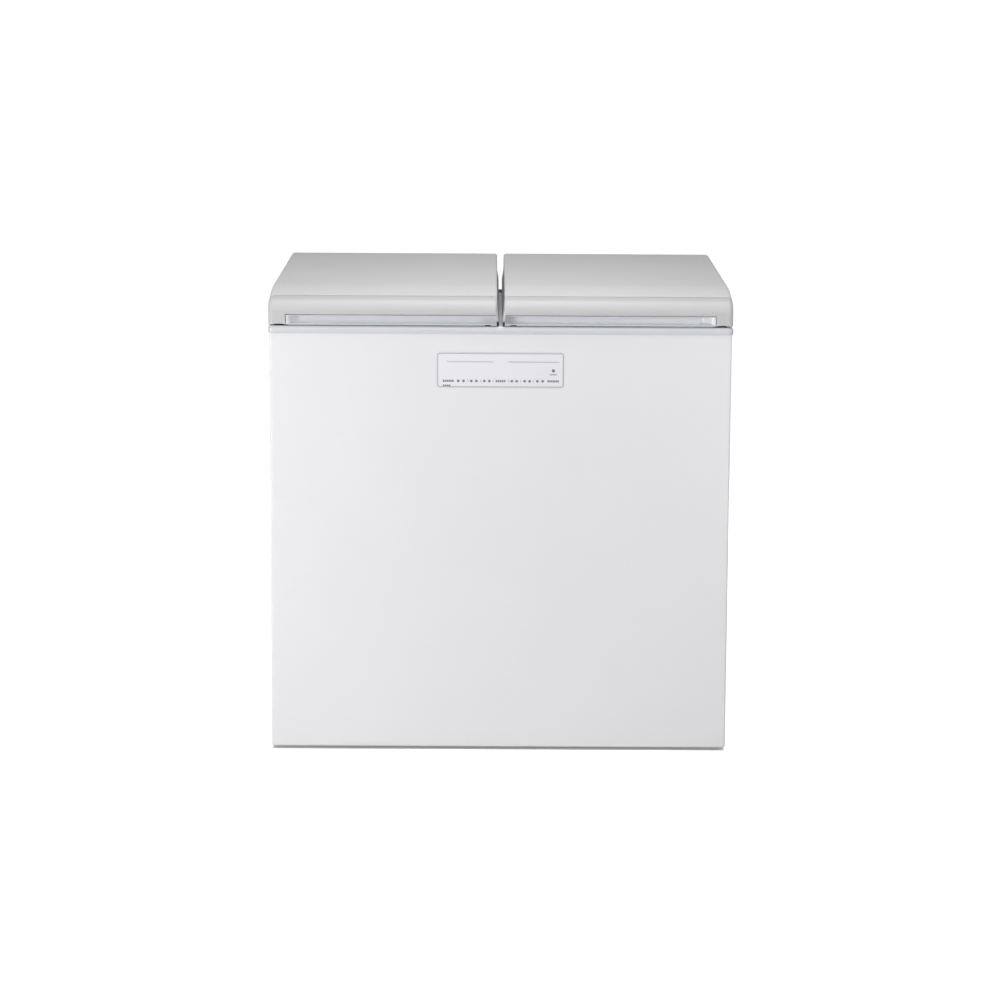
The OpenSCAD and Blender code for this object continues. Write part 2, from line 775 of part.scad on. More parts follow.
// Serpentine condenser tube, its straights along Y and its two rows joined at the top
module condenser_tube() {
    color("sienna") {
        for (row = [0:cond_rows - 1]) {
            for (level = [0:cond_levels - 1]) {
                p = cond_point(row, level);
                translate([p[0], 0, p[1]]) bar_y(cond_y0, cond_y1, cond_tube_r);
            }
            for (level = [0:cond_levels - 2]) {
                p = cond_point(row, level);
                at_back = level % 2 == 0;
                translate([p[0], at_back ? cond_y1 : cond_y0, p[1] + cond_dz / 2])
                    rotate([0, 90, 0]) rotate([0, 0, at_back ? 0 : 180])
                        rotate_extrude(angle = 180) translate([cond_dz / 2, 0]) circle(cond_tube_r);
            }
        }
        translate([cond_x, cond_y0, cond_point(0, cond_levels - 1)[1]])
            rotate([0, 0, 180]) rotate_extrude(angle = 180)
                translate([cond_dx / 2, 0]) circle(cond_tube_r);
    }
}

// Thin fins, each with a hole for every pass of the tube
module condenser_fins() {
    margin = 14;
    color("lightgray") for (i = [0:fin_n - 1])
        translate([0, comp_y - cond_fin_d / 2 + i * fin_pitch + fin_t / 2, 0])
            rotate([90, 0, 0]) linear_extrude(fin_t) difference() {
                translate([cond_x - (cond_rows - 1) * cond_dx / 2 - margin, pan_top + 6])
                    square([(cond_rows - 1) * cond_dx + 2 * margin,
                            cond_z0 - pan_top - 6 + (cond_levels - 1) * cond_dz + margin]);
                for (row = [0:cond_rows - 1], level = [0:cond_levels - 1])
                    translate(cond_point(row, level)) circle(cond_tube_r + fin_fit);
            }
}

// Square duct that guides the air into the fan, with arms for the motor
module fan_shroud() {
    duct_r = fan_r + fan_tip_gap;
    arm = 6;
    color("darkgray") translate([fan_x, fan_y, fan_z]) difference() {
        union() {
            difference() {
                span([-shroud_d / 2, -duct_r - 6, -(fan_z - pan_top)],
                     [shroud_d / 2, duct_r + 6, duct_r + 6]);
                bar_x(-shroud_d, shroud_d, duct_r);
            }
            span([shroud_d / 2 - 4, -duct_r - 2, -arm / 2], [shroud_d / 2, duct_r + 2, arm / 2]);
            span([shroud_d / 2 - 4, -arm / 2, -duct_r - 2], [shroud_d / 2, arm / 2, duct_r + 2]);
            bar_x(shroud_d / 2 - 4, shroud_d / 2, motor_r);
        }
        bar_x(0, shroud_d, shaft_r + 4);
    }
}

module fan_motor() {
    color("dimgray") translate([fan_x, fan_y, fan_z]) {
        bar_x(shroud_d / 2, shroud_d / 2 + motor_len, motor_r);
        bar_x(-shroud_d / 2 + 4, shroud_d / 2, shaft_r);
    }
}

// Axial impeller: a hub and pitched blades
module fan_blade() {
    hub_r = 18;
    hub_x0 = -shroud_d / 2 + 2;
    hub_x1 = shroud_d / 2 - 8;
    chord = 32;
    blade_t = 2;
    pitch = 32;
    color("white") translate([fan_x, fan_y, fan_z]) difference() {
        union() {
            bar_x(hub_x0, hub_x1, hub_r);
            for (i = [0:fan_blades - 1]) rotate([i * 360 / fan_blades, 0, 0])
                intersection() {
                    translate([(hub_x0 + hub_x1) / 2, 0, 0]) rotate([0, 0, pitch])
                        translate([-blade_t / 2, -chord / 2, hub_r / 2]) cube([blade_t, chord, fan_r]);
                    bar_x(hub_x0, hub_x1, fan_r);
                }
        }
        bar_x(hub_x0 - over, hub_x1 + over, shaft_r + run_fit);
    }
}

// Copper drier: a cylinder with necked ends
module filter_drier() {
    neck = 12;
    color("chocolate") translate([drier_x, comp_y, drier_z]) rotate_extrude()
        polygon([[0, 0], [liquid_r + 1, 0], [drier_r, neck], [drier_r, drier_len - neck],
                 [liquid_r + 1, drier_len], [0, drier_len]]);
}

// Solenoid valve that sends refrigerant to either compartment, on its bracket
module control_valve() {
    body_r = 9;
    coil_half = 12;
    coil_z0 = 6;
    coil_z1 = 32;
    bracket_t = 1.5;
    bracket_d = 18;
    color("silver") {
        translate([valve_x, comp_y, valve_z]) {
            cylinder(h = valve_h, r = body_r);
            span([-valve_half, -coil_half, coil_z0], [valve_half, coil_half, coil_z1]);
        }
        translate([valve_x, comp_y + coil_half, pan_top]) {
            span([-coil_half, 0, 0], [coil_half, bracket_t, valve_z - pan_top + coil_z1]);
            span([-coil_half, 0, 0], [coil_half, bracket_d, bracket_t]);
        }
    }
}

// Refrigerant lines between the machine room's parts and the evaporators
module refrigerant_tubes() {
    stub_x = comp_x + comp_r + stub_len;
    drop_x = stub_x + 10;
    stub_z = comp_z + stub_h;
    cond_in = cond_point(0, 0);
    cond_out = cond_point(cond_rows - 1, 0);
    cond_y = cond_y0;
    gas_y = cond_y - cond_dz / 2 - cond_tube_r - 9;
    liquid_y = cond_y - cond_dz / 2 - 6;
    drier_top = drier_z + drier_len;
    over_z = drier_top + 12;
    color("sienna") {
        // hot gas, from the compressor to the condenser
        pipe([[stub_x, comp_y, stub_z], [drop_x, comp_y, stub_z], [drop_x, gas_y, stub_z],
              [cond_in[0], gas_y, stub_z], [cond_in[0], gas_y, cond_in[1]],
              [cond_in[0], cond_y, cond_in[1]]], pipe_r);
        // liquid, from the condenser to the drier
        pipe([[cond_out[0], cond_y, cond_out[1]], [cond_out[0], liquid_y, cond_out[1]],
              [drier_x, liquid_y, cond_out[1]], [drier_x, comp_y, cond_out[1]],
              [drier_x, comp_y, drier_z]], liquid_r);
        // liquid, from the drier to the valve
        pipe([[drier_x, comp_y, drier_top], [drier_x, comp_y, over_z],
              [valve_x, comp_y, over_z], [valve_x, comp_y, valve_z + valve_h]], liquid_r);
        // capillary, from the valve into the suction header
        pipe([[valve_x + valve_half, comp_y, valve_z + 18], [valve_x + 26, comp_y, valve_z + 18],
              [valve_x + 26, comp_y, header_z], [valve_x + 26, evap_y, header_z]], capillary_r);
        // suction, from both evaporators to the compressor
        pipe([[tub_x, evap_y, evap_foot_z], [tub_x, evap_y, header_z],
              [-tub_x, evap_y, header_z], [-tub_x, evap_y, evap_foot_z]], pipe_r);
        pipe([[drop_x, evap_y, header_z], [drop_x, evap_y, stub_z],
              [drop_x, comp_y + stub_gap, stub_z], [stub_x, comp_y + stub_gap, stub_z]], pipe_r);
    }
}

// Box for the power electronics, with a slot for its wires
module power_case() {
    color("whitesmoke") translate([power_x, comp_y, pan_top]) difference() {
        span([-power_half_w, -power_half_d, 0], [power_half_w, power_half_d, power_h]);
        span([-power_half_w + power_wall, -power_half_d + power_wall, power_wall],
             [power_half_w - power_wall, power_half_d - power_wall, power_h - power_wall]);
        span([-power_half_w - over, -wire_slot_half, wire_slot_z0],
             [-power_half_w + power_wall + over, wire_slot_half, wire_slot_z1]);
    }
}

// Power board with its largest parts, on posts on the case's floor
module power_board() {
    w = power_half_w - power_wall - 5;
    d = power_half_d - power_wall - 5;
    post_in = 6;
    color("darkgreen") translate([power_x, comp_y, pan_top + power_wall]) {
        span([-w, -d, board_post_h], [w, d, board_post_h + board_t]);
        for (sx = [-1, 1], sy = [-1, 1])
            translate([sx * (w - post_in), sy * (d - post_in), 0])
                cylinder(h = board_post_h + over, r = board_post_r);
        translate([-w / 3, d / 2, board_post_h]) cylinder(h = big_can_h - board_post_h, r = big_can_r);
        span([w / 10, -d * 0.75, board_post_h], [w * 0.85, -d / 5, big_can_h]);
        span([-w * 0.85, -d * 0.7, board_post_h], [-w / 4, -d / 4, big_can_h / 2]);
    }
}

// Strain relief for the supply cord
module cord_gland() {
    lip = 3;
    color("black") translate([gland_x, 0, gland_z]) difference() {
        union() {
            bar_y(rear_skin_y - 12, rear_skin_out, gland_r);
            bar_y(rear_skin_out, rear_skin_out + 1.2, gland_r + lip);
            bar_y(rear_skin_y - 5, rear_skin_y - 0.2, gland_r + lip / 2);
        }
        bar_y(rear_skin_y - 13, rear_skin_out + 3, gland_bore);
    }
}

// ---------------------------------------------------------------- control parts

// Touch window: a plain plate that fills the front panel's opening
module control_window() {
    color("ghostwhite") translate([0, -body_y - window_proud + window_t, window_z])
        rotate([90, 0, 0]) linear_extrude(window_t) rrect(window_w, window_h, window_r);
}

// Plastic tray behind the window
module control_housing() {
    ledge = window_t - window_proud - sheet_t;
    color("whitesmoke") translate([0, panel_in_y, window_z]) difference() {
        span([-housing_w / 2, 0, -housing_h / 2], [housing_w / 2, housing_d, housing_h / 2]);
        span([-housing_w / 2 + 12, -over, -housing_h / 2 + 12],
             [housing_w / 2 - 12, housing_d - housing_t, housing_h / 2 - 12]);
        span([-window_w / 2 - slip, -over, -window_h / 2 - slip],
             [window_w / 2 + slip, ledge, window_h / 2 + slip]);
        span([-housing_w / 2 + housing_t, ledge + 3, -housing_h / 2 + housing_t],
             [housing_w / 2 - housing_t, housing_d - housing_t, housing_h / 2 - housing_t]);
    }
}

// Display and touch board, with two readout blocks
module control_board() {
    back_y = panel_in_y + housing_d - housing_t;
    face_y = back_y - 8;
    w = housing_w - 2 * housing_t - 4;
    h = housing_h - 2 * housing_t - 4;
    color("darkgreen") translate([0, 0, window_z]) {
        span([-w / 2, face_y - board_t, -h / 2], [w / 2, face_y, h / 2]);
        for (sx = [-1, 1]) span([sx * 52 - 30, face_y - board_t - 5, 0],
                                [sx * 52 + 30, face_y - board_t + 0.5, 18]);
        for (sx = [-1, 1], sz = [-1, 1]) translate([sx * (w / 2 - 8), 0, sz * (h / 2 - 8)])
            bar_y(face_y - over / 2, back_y, 3);
    }
}

// ---------------------------------------------------------------- feet and casters

// Levelling foot: a pad on a screwed stem
module foot(side) {
    color("dimgray") translate([side * foot_x, foot_y, 0]) {
        cylinder(h = 2, r1 = foot_r - 1, r2 = foot_r);
        translate([0, 0, 2]) cylinder(h = foot_h - 4, r = foot_r);
        translate([0, 0, foot_h - 2]) cylinder(h = 2, r1 = foot_r, r2 = foot_r - 4);
        cylinder(h = foot_h + stem_len, r = stem_r);
        translate([0, 0, foot_h]) cylinder(h = 5, r = stem_r + 4, $fn = 6);
    }
}

// Forks that hold the rear casters
module caster_brackets() {
    half = wheel_w / 2 + caster_gap;
    color("silver") for (sx = [-1, 1]) translate([sx * caster_x, caster_y, 0]) difference() {
        union() {
            span([-half - caster_ear_t, -caster_plate_half, pan_z - caster_plate_t],
                 [half + caster_ear_t, caster_plate_half, pan_z]);
            for (s = [-1, 1]) {
                x0 = s > 0 ? half : -half - caster_ear_t;
                span([x0, -caster_ear_half, wheel_r], [x0 + caster_ear_t, caster_ear_half, pan_z]);
                translate([0, 0, wheel_r]) bar_x(x0, x0 + caster_ear_t, caster_ear_r);
            }
        }
        translate([0, 0, wheel_r]) bar_x(-half - 4, half + 4, axle_r);
    }
}

module caster_axles() {
    half = wheel_w / 2 + caster_gap + caster_ear_t;
    color("silver") for (sx = [-1, 1]) translate([sx * caster_x, caster_y, wheel_r]) {
        bar_x(-half, half, axle_r);
        for (s = [-1, 1]) bar_x(s > 0 ? half : -half - 1.2, s > 0 ? half + 1.2 : -half, axle_r + 1.2);
    }
}

module caster_wheel(side) {
    color("black") translate([side * caster_x, caster_y, wheel_r]) difference() {
        union() {
            bar_x(-wheel_w / 2 + 1, wheel_w / 2 - 1, wheel_r);
            bar_x(-wheel_w / 2, wheel_w / 2, wheel_r - 1.5);
        }
        bar_x(-wheel_w, wheel_w, axle_r + run_fit);
    }
}

// ---------------------------------------------------------------- hinges

// Places a child at each hinge of both lids, at floor level on the hinge's middle plane
module at_hinges() {
    for (sx = [-1, 1], x = hinge_xs) translate([sx * x, 0, 0]) children();
}

module at_hinge_screws() {
    at_hinges() for (s = [-1, 1])
        translate([s * 13, foot_plate_y0 + 10, 0]) children();
}

// Steel foot, upright and knuckle, four of them
module hinge_brackets() {
    color("silver") difference() {
        at_hinges() {
            span([-foot_plate_w / 2, foot_plate_y0, frame_top - foot_plate_t],
                 [foot_plate_w / 2, hinge_y + web_back, frame_top]);
            span([-knuckle_w / 2, hinge_y + web_back - web_t, frame_top - foot_plate_t],
                 [knuckle_w / 2, hinge_y + web_back, hinge_z]);
            translate([0, hinge_y, hinge_z]) bar_x(-knuckle_w / 2, knuckle_w / 2, knuckle_r);
        }
        at_hinges() translate([0, hinge_y, hinge_z]) bar_x(-knuckle_w, knuckle_w, pin_r);
        at_hinge_screws() translate([0, 0, frame_top - foot_plate_t - over])
            cylinder(h = foot_plate_t + 2 * over, r = screw_r + screw_hole);
        at_hinge_screws() translate([0, 0, frame_top - screw_head_h - slip])
            cylinder(h = screw_head_h + over, r = screw_head_r + screw_hole);
    }
}

module hinge_pins() {
    color("silver") at_hinges() translate([0, hinge_y, hinge_z])
        bar_x(-pin_len / 2, pin_len / 2, pin_r);
}

// Ring of eight points round a spring's wire, at turn t of the coil
function wire_ring(t, mean_r, x0, pitch) =
    [for (k = [0:7]) let (a = k * 45, r = mean_r + spring_wire_r * cos(a))
        [x0 + pitch * t + spring_wire_r * sin(a), r * cos(360 * t), r * sin(360 * t)]];

// Closed tube through equal rings of eight points
module tube_of(rings) {
    n = len(rings);
    points = [for (ring = rings) each ring];
    sides = [for (i = [0:n - 2], k = [0:7])
        let (a = i * 8 + k, b = i * 8 + (k + 1) % 8) [a, b, b + 8, a + 8]];
    first = [for (k = [7:-1:0]) k];
    last = [for (k = [0:7]) (n - 1) * 8 + k];
    polyhedron(points, concat(sides, [first, last]), convexity = 4);
}

// Balance springs, wound round the pins outside the moving ears
module hinge_springs() {
    turns = 2.5;
    steps = 30;
    mean_r = pin_r + spring_wire_r + seat;
    x0 = ear_x + ear_t + spring_wire_r + seat;
    pitch = 2 * spring_wire_r + 0.3;
    color("dimgray") at_hinges() translate([0, hinge_y, hinge_z])
        tube_of([for (i = [0:steps]) wire_ring(turns * i / steps, mean_r, x0, pitch)]);
}

// Moving leaf of each hinge: a plate with two ears on the pin
module lid_hinges() {
    color("silver") for (x = hinge_xs) translate([x, hinge_y, hinge_z]) difference() {
        union() {
            span([-ear_x - ear_t, -leaf_half, leaf_z - hinge_z],
                 [ear_x + ear_t, leaf_half, leaf_z - hinge_z + leaf_t]);
            for (s = [-1, 1]) {
                x0 = s > 0 ? ear_x : -ear_x - ear_t;
                bar_x(x0, x0 + ear_t, ear_r);
                span([x0, -ear_r, 0], [x0 + ear_t, ear_r, leaf_z - hinge_z + over]);
            }
        }
        bar_x(-knuckle_w, knuckle_w, pin_r + run_fit);
    }
}

// Pan-head screw along -Y, its head's seat at the origin
module screw_y() {
    bar_y(0, screw_head_h, screw_head_r);
    bar_y(-screw_len, 0, screw_r);
}

// Screws of the rear sheets and of the hinge feet
module screws() {
    color("silver") {
        for (side = [0, 1]) mirror([side, 0, 0])
            at_rear_screws() translate([0, rear_skin_out, 0]) screw_y();
        at_hinge_screws() {
            translate([0, 0, frame_top - screw_head_h]) cylinder(h = screw_head_h - slip, r = screw_head_r);
            translate([0, 0, frame_top - screw_head_h - hinge_screw_len])
                cylinder(h = hinge_screw_len, r = screw_r);
        }
    }
}

// ---------------------------------------------------------------- lids, right side

// Side view of a lid, shrunk by i: front roll, crown, level top, round back edge
module lid_side(i) {
    polygon(concat(
        [[lid_y0 + i, lid_z + i]],
        arc(roll_y, roll_cz, roll_r - i, 180, roll_a, 14),
        arc(crown_y, crown_cz, crown_r - i, roll_a, 90, 14),
        arc(hinge_y, hinge_z, end_r - i, 90, -90, 32)));
}

// Front view of the right lid, shrunk by i: a slit side that leans, an upright outer side
module lid_front(i) {
    polygon(concat(
        [[slit_low / 2 + i, lid_z - plug_h - over], [slit_low / 2 + i, slit_z0],
         [slit_top / 2 + i, slit_z1]],
        arc(slit_top / 2 + slit_edge_r, lid_top - slit_edge_r, slit_edge_r - i, 180, 90, 8),
        arc(lid_x1 - side_edge_r, lid_top - side_edge_r, side_edge_r - i, 90, 0, 8),
        [[lid_x1 - i, lid_z - plug_h - over]]));
}

// Plan of the right lid, shrunk by i
module lid_plan(i) {
    front_r = 10;
    slit_r = 4;
    polygon(concat(
        arc(slit_low / 2 + slit_r, lid_y0 + slit_r, slit_r - i, 180, 270, 8),
        arc(lid_x1 - front_r, lid_y0 + front_r, front_r - i, 270, 360, 8),
        [[lid_x1 - i, body_y + over], [slit_low / 2 + i, body_y + over]]));
}

// What lies inside the lid's front and plan outlines
module lid_core(i) {
    intersection() {
        translate([0, body_y + 2 * over, 0]) rotate([90, 0, 0])
            linear_extrude(body_d + 4 * frame_over) lid_front(i);
        translate([0, 0, plug_z - over]) linear_extrude(lid_top - plug_z + 2 * over) lid_plan(i);
    }
}

// The whole lid as a solid, shrunk by i
module lid_solid(i) {
    intersection() {
        lid_core(i);
        along_x(0, body_x + frame_over) lid_side(i);
    }
}

// Outer cover: top, sides and the upper half of the round back edge
module lid_cover() {
    color("lightgray") difference() {
        lid_solid(0);
        lid_solid(cover_t);
        span([0, lid_y0 - over, lid_z - over], [lid_x1 + over, seam_y + seam_w / 2, lid_top + over]);
        intersection() {
            lid_core(cover_t);
            union() {
                span([0, seam_y, lid_z - over], [lid_x1, hinge_y, lid_z + cover_t + over]);
                span([0, hinge_y - over, lid_z - over], [lid_x1, body_y + over, hinge_z]);
            }
        }
    }
}

// Front trim with the hand groove along its lower edge
module lid_trim() {
    notch_h = 9;
    color("lightgray") difference() {
        lid_solid(0);
        span([0, seam_y - seam_w / 2, lid_z - over], [lid_x1 + over, body_y + over, lid_top + over]);
        intersection() {
            lid_solid(trim_t);
            span([0, lid_y0, groove_z + groove_h + trim_t], [lid_x1, seam_y, lid_top]);
        }
        span([slit_low / 2 + trim_t, groove_y + trim_t, groove_z],
             [lid_x1 - trim_t, seam_y, groove_z + groove_h + trim_t + over]);
        translate([0, 0, groove_z]) linear_extrude(groove_h)
            polygon([[groove_x0, lid_y0 - over], [groove_x1, lid_y0 - over], [groove_x1, lid_y0 + 2],
                     [groove_x1 - groove_ramp, groove_y], [groove_x0, groove_y]]);
        span([0, lid_y0 - over, lid_z - over],
             [slit_low / 2 + 4 + seat, lid_y0 + 9, lid_z + notch_h]);
    }
}

// Liner's wall in side view: the flat underside and the lower half of the round back edge
module liner_side() {
    difference() {
        lid_side(0);
        lid_side(liner_t);
        translate([lid_y0 - over, lid_z - over])
            square([seam_y - lid_y0 + seam_w / 2 + over, lid_t + 2 * over]);
        translate([lid_y0, lid_z + liner_t]) square([hinge_y - lid_y0, lid_t]);
        translate([lid_y0, hinge_z - slip]) square([body_d + 2 * frame_over, lid_t]);
    }
}

// Cuts the hinge openings, grown by g, out of the lid's inner pieces
module hinge_notches(g) {
    for (x = hinge_xs)
        span([x - notch_w / 2 - g, notch_y0 - g, lid_z - over],
             [x + notch_w / 2 + g, body_y + over, notch_top + g]);
}

// Moulded liner: flange, plug, gasket groove and hinge pockets
module lid_liner() {
    inset = cover_t + slip;
    color("white") difference() {
        union() {
            intersection() {
                lid_core(inset);
                union() {
                    along_x(0, lid_x1) liner_side();
                    intersection() {
                        hinge_notches(notch_wall);
                        along_x(0, lid_x1) union() {
                            lid_side(inset);
                            intersection() {
                                lid_side(0);
                                translate([lid_y0, lid_z])
                                    square([body_d + frame_over, hinge_z - slip - lid_z]);
                            }
                        }
                    }
                }
            }
            translate([tub_x, tub_y, plug_z]) linear_extrude(plug_h + liner_t)
                rrect(plug_w, plug_d, plug_r);
            translate([tub_x, tub_y, 0]) ring_sweep(gasket_path_w, gasket_path_d, gasket_path_r)
                translate([-pocket_w / 2 - liner_t, lid_z])
                    square([pocket_w + 2 * liner_t, pocket_top - lid_z + liner_t]);
        }
        translate([tub_x, tub_y, plug_z + liner_t]) linear_extrude(plug_h + liner_t)
            rrect(plug_w - 2 * liner_t, plug_d - 2 * liner_t, plug_r - liner_t);
        translate([tub_x, tub_y, 0]) ring_sweep(gasket_path_w, gasket_path_d, gasket_path_r)
            translate([-pocket_w / 2, lid_z - over]) square([pocket_w, pocket_top - lid_z + over]);
        hinge_notches(0);
    }
}

// Foam filling of the lid and of its plug
module lid_foam() {
    gap = 0.2;
    color("khaki") difference() {
        union() {
            lid_solid(cover_t + gap + 0.3);
            translate([tub_x, tub_y, plug_z + liner_t + gap]) linear_extrude(plug_h + liner_t + over)
                rrect(plug_w - 2 * liner_t - 2 * gap, plug_d - 2 * liner_t - 2 * gap,
                      plug_r - liner_t - gap);
        }
        translate([tub_x, tub_y, 0]) ring_sweep(gasket_path_w, gasket_path_d, gasket_path_r)
            translate([-pocket_w / 2 - liner_t - gap, lid_z - over])
                square([pocket_w + 2 * (liner_t + gap), pocket_top - lid_z + liner_t + gap + over]);
        hinge_notches(notch_wall + gap);
        span([0, lid_y0, lid_z], [lid_x1, groove_y + trim_t + gap, groove_z + groove_h + trim_t + gap]);
        intersection() {
            span([0, lid_y0, lid_z], [lid_x1, seam_y + seam_w, lid_top]);
            difference() {
                span([0, lid_y0, lid_z], [lid_x1, seam_y + seam_w, lid_top]);
                lid_solid(trim_t + gap);
            }
        }
    }
}

// Magnetic gasket in the liner's groove
module lid_gasket() {
    color("gray") translate([tub_x, tub_y, 0])
        ring_sweep(gasket_path_w, gasket_path_d, gasket_path_r)
            translate([-gasket_w / 2, gasket_z]) square([gasket_w, gasket_h]);
}

// Turns a right-hand piece into the piece for one side
module sided(side) {
    mirror([side < 0 ? 1 : 0, 0, 0]) children();
}

// ---------------------------------------------------------------- containers

// Open container with a rolled rim
module box(side, y, z, d, h) {
    w = box_w;
    color("lightsteelblue") translate([side * tub_x, y, z + seat]) difference() {
        union() {
            linear_extrude(h) rrect(w - 2 * box_rim, d - 2 * box_rim, box_r - box_rim);
            translate([0, 0, h - 3]) linear_extrude(3) rrect(w - 4, d - 4, box_r - 2);
        }
        translate([0, 0, box_t]) linear_extrude(h)
            rrect(w - 2 * box_rim - 2 * box_t, d - 2 * box_rim - 2 * box_t, box_r - box_rim - box_t);
    }
}

// Press-on container lid with a raised panel
module box_lid(side, y, z, d, h) {
    panel_in = 24;
    panel_h = 1.5;
    color("white") translate([side * tub_x, y, z + seat + h + seat]) difference() {
        union() {
            translate([0, 0, -box_skirt]) linear_extrude(box_skirt + box_lid_t)
                rrect(box_w, d, box_r);
            linear_extrude(box_lid_t + panel_h)
                rrect(box_w - 2 * panel_in, d - 2 * panel_in, box_r - panel_in / 2);
        }
        translate([0, 0, -box_skirt - over]) linear_extrude(box_skirt + over)
            rrect(box_w - 4 + 2 * box_lid_fit, d - 4 + 2 * box_lid_fit, box_r - 2 + box_lid_fit);
    }
}

module front_box(side) {
    box(side, front_box_y, tub_floor, front_box_d, front_box_h);
}

module front_box_lid(side) {
    box_lid(side, front_box_y, tub_floor, front_box_d, front_box_h);
}

module rear_box(side) {
    box(side, rear_box_y, step_floor, rear_box_d, rear_box_h);
}

module rear_box_lid(side) {
    box_lid(side, rear_box_y, step_floor, rear_box_d, rear_box_h);
}

// ---------------------------------------------------------------- nodes

front_panel();
side_panel(-1);  // side_panel_left
side_panel(1);  // side_panel_right
back_panel();
machine_cover();
base_pan();
top_frame();
lid_bumpers();
foam_block();
tub(-1);  // tub_left
tub(1);  // tub_right
evaporator(-1);  // evaporator_left
evaporator(1);  // evaporator_right
compressor();
compressor_mounts();
starter_box();
condenser_tube();
condenser_fins();
fan_shroud();
fan_motor();
fan_blade();
filter_drier();
control_valve();
refrigerant_tubes();
control_window();
control_housing();
control_board();
power_case();
power_board();
cord_gland();
caster_brackets();
caster_axles();
caster_wheel(-1);  // caster_wheel_left
caster_wheel(1);  // caster_wheel_right
foot(-1);  // foot_left
foot(1);  // foot_right
hinge_brackets();
hinge_pins();
hinge_springs();
screws();
sided(-1) lid_cover();  // lid_cover_left
sided(-1) lid_trim();  // lid_trim_left
sided(-1) lid_liner();  // lid_liner_left
sided(-1) lid_foam();  // lid_foam_left
sided(-1) lid_gasket();  // lid_gasket_left
sided(-1) lid_hinges();  // lid_hinges_left
sided(1) lid_cover();  // lid_cover_right
sided(1) lid_trim();  // lid_trim_right
sided(1) lid_liner();  // lid_liner_right
sided(1) lid_foam();  // lid_foam_right
sided(1) lid_gasket();  // lid_gasket_right
sided(1) lid_hinges();  // lid_hinges_right
front_box(-1);  // front_box_left
front_box_lid(-1);  // front_box_lid_left
rear_box(-1);  // rear_box_left
rear_box_lid(-1);  // rear_box_lid_left
front_box(1);  // front_box_right
front_box_lid(1);  // front_box_lid_right
rear_box(1);  // rear_box_right
rear_box_lid(1);  // rear_box_lid_right
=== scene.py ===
# %% [markdown]
# # Dressing a chest kimchi refrigerator in Blender
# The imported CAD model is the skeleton. It gives every size and every joint, and it never
# moves. This lesson gives it its skins, its lids, its small parts and its finishes, and then
# sets up the studio round it. Blender works in metres. The drawings are in millimetres, so
# each size passes through one function that turns one into the other.

# %% Load the frame
from math import acos, atan2, cos, degrees, pi, radians, sin, sqrt, tan
import bpy
import bmesh
from mathutils import Matrix, Vector


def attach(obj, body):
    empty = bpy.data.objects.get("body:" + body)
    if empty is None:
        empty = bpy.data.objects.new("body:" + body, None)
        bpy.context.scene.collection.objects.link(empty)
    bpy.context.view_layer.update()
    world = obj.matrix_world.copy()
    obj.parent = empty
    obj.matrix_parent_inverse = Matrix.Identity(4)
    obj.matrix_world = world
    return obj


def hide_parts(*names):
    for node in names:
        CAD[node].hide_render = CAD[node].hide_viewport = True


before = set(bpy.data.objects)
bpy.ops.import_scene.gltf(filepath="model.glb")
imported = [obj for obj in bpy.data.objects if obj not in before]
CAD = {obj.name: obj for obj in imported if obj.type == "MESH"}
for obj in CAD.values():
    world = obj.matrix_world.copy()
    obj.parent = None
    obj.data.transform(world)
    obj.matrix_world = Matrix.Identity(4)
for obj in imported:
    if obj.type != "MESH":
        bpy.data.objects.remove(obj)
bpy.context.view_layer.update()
SIDES = {"left": -1, "right": 1}


def mm(length):
    """Millimetres from the drawing, in Blender's metres."""
    return length / 1000.0


# %% [markdown]
# ## Colours and nodes
# Paint makers give colours as screen values. A renderer adds light, so it needs them linear.
# One function turns the hex value of a finish into the numbers that a shader wants. Another
# one adds a node, with its settings and its links, so each material below reads as a list.

# %% Helpers for every finish
def colour(code):
    """A screen colour such as "E8E9EB" as linear red, green, blue and a full alpha."""
    parts = [int(code[i:i + 2], 16) / 255 for i in (0, 2, 4)]
    bent = [p / 12.92 if p <= 0.04045 else ((p + 0.055) / 1.055) ** 2.4 for p in parts]
    return (*bent, 1.0)


def add(tree, kind, inputs=None, **settings):
    """Adds a node. An input is given a value, or a node or a socket to link to."""
    made = tree.nodes.new(kind)
    for name, value in settings.items():
        setattr(made, name, value)
    for key, value in (inputs or {}).items():
        if isinstance(value, bpy.types.Node):
            value = value.outputs[0]
        if isinstance(value, bpy.types.NodeSocket):
            tree.links.new(value, made.inputs[key])
        else:
            made.inputs[key].default_value = value
    return made


def emptied(block):
    """The node tree of a new material or world, with nothing in it."""
    block.use_nodes = True
    block.node_tree.nodes.clear()
    return block.node_tree


MATH, VECTOR_MATH = "ShaderNodeMath", "ShaderNodeVectorMath"
COMBINE, MAP_RANGE = "ShaderNodeCombineXYZ", "ShaderNodeMapRange"
print("nodes that come back all the time:", MATH, VECTOR_MATH, COMBINE, MAP_RANGE)

# %% [markdown]
# ## A base for the finishes
# Every real surface here is a mix of three things: a colour that isn't quite even, a gloss
# that varies a little, and a fine relief from how it was made. A mould leaves its spark
# texture, a roller coat leaves orange peel, and rolled metal leaves its streaks. The base
# takes the size of that relief in millimetres, and turns it into a noise scale. The colour
# and the gloss change more slowly, over the length of a hand.

# %% The base finish
BROAD = 180.0


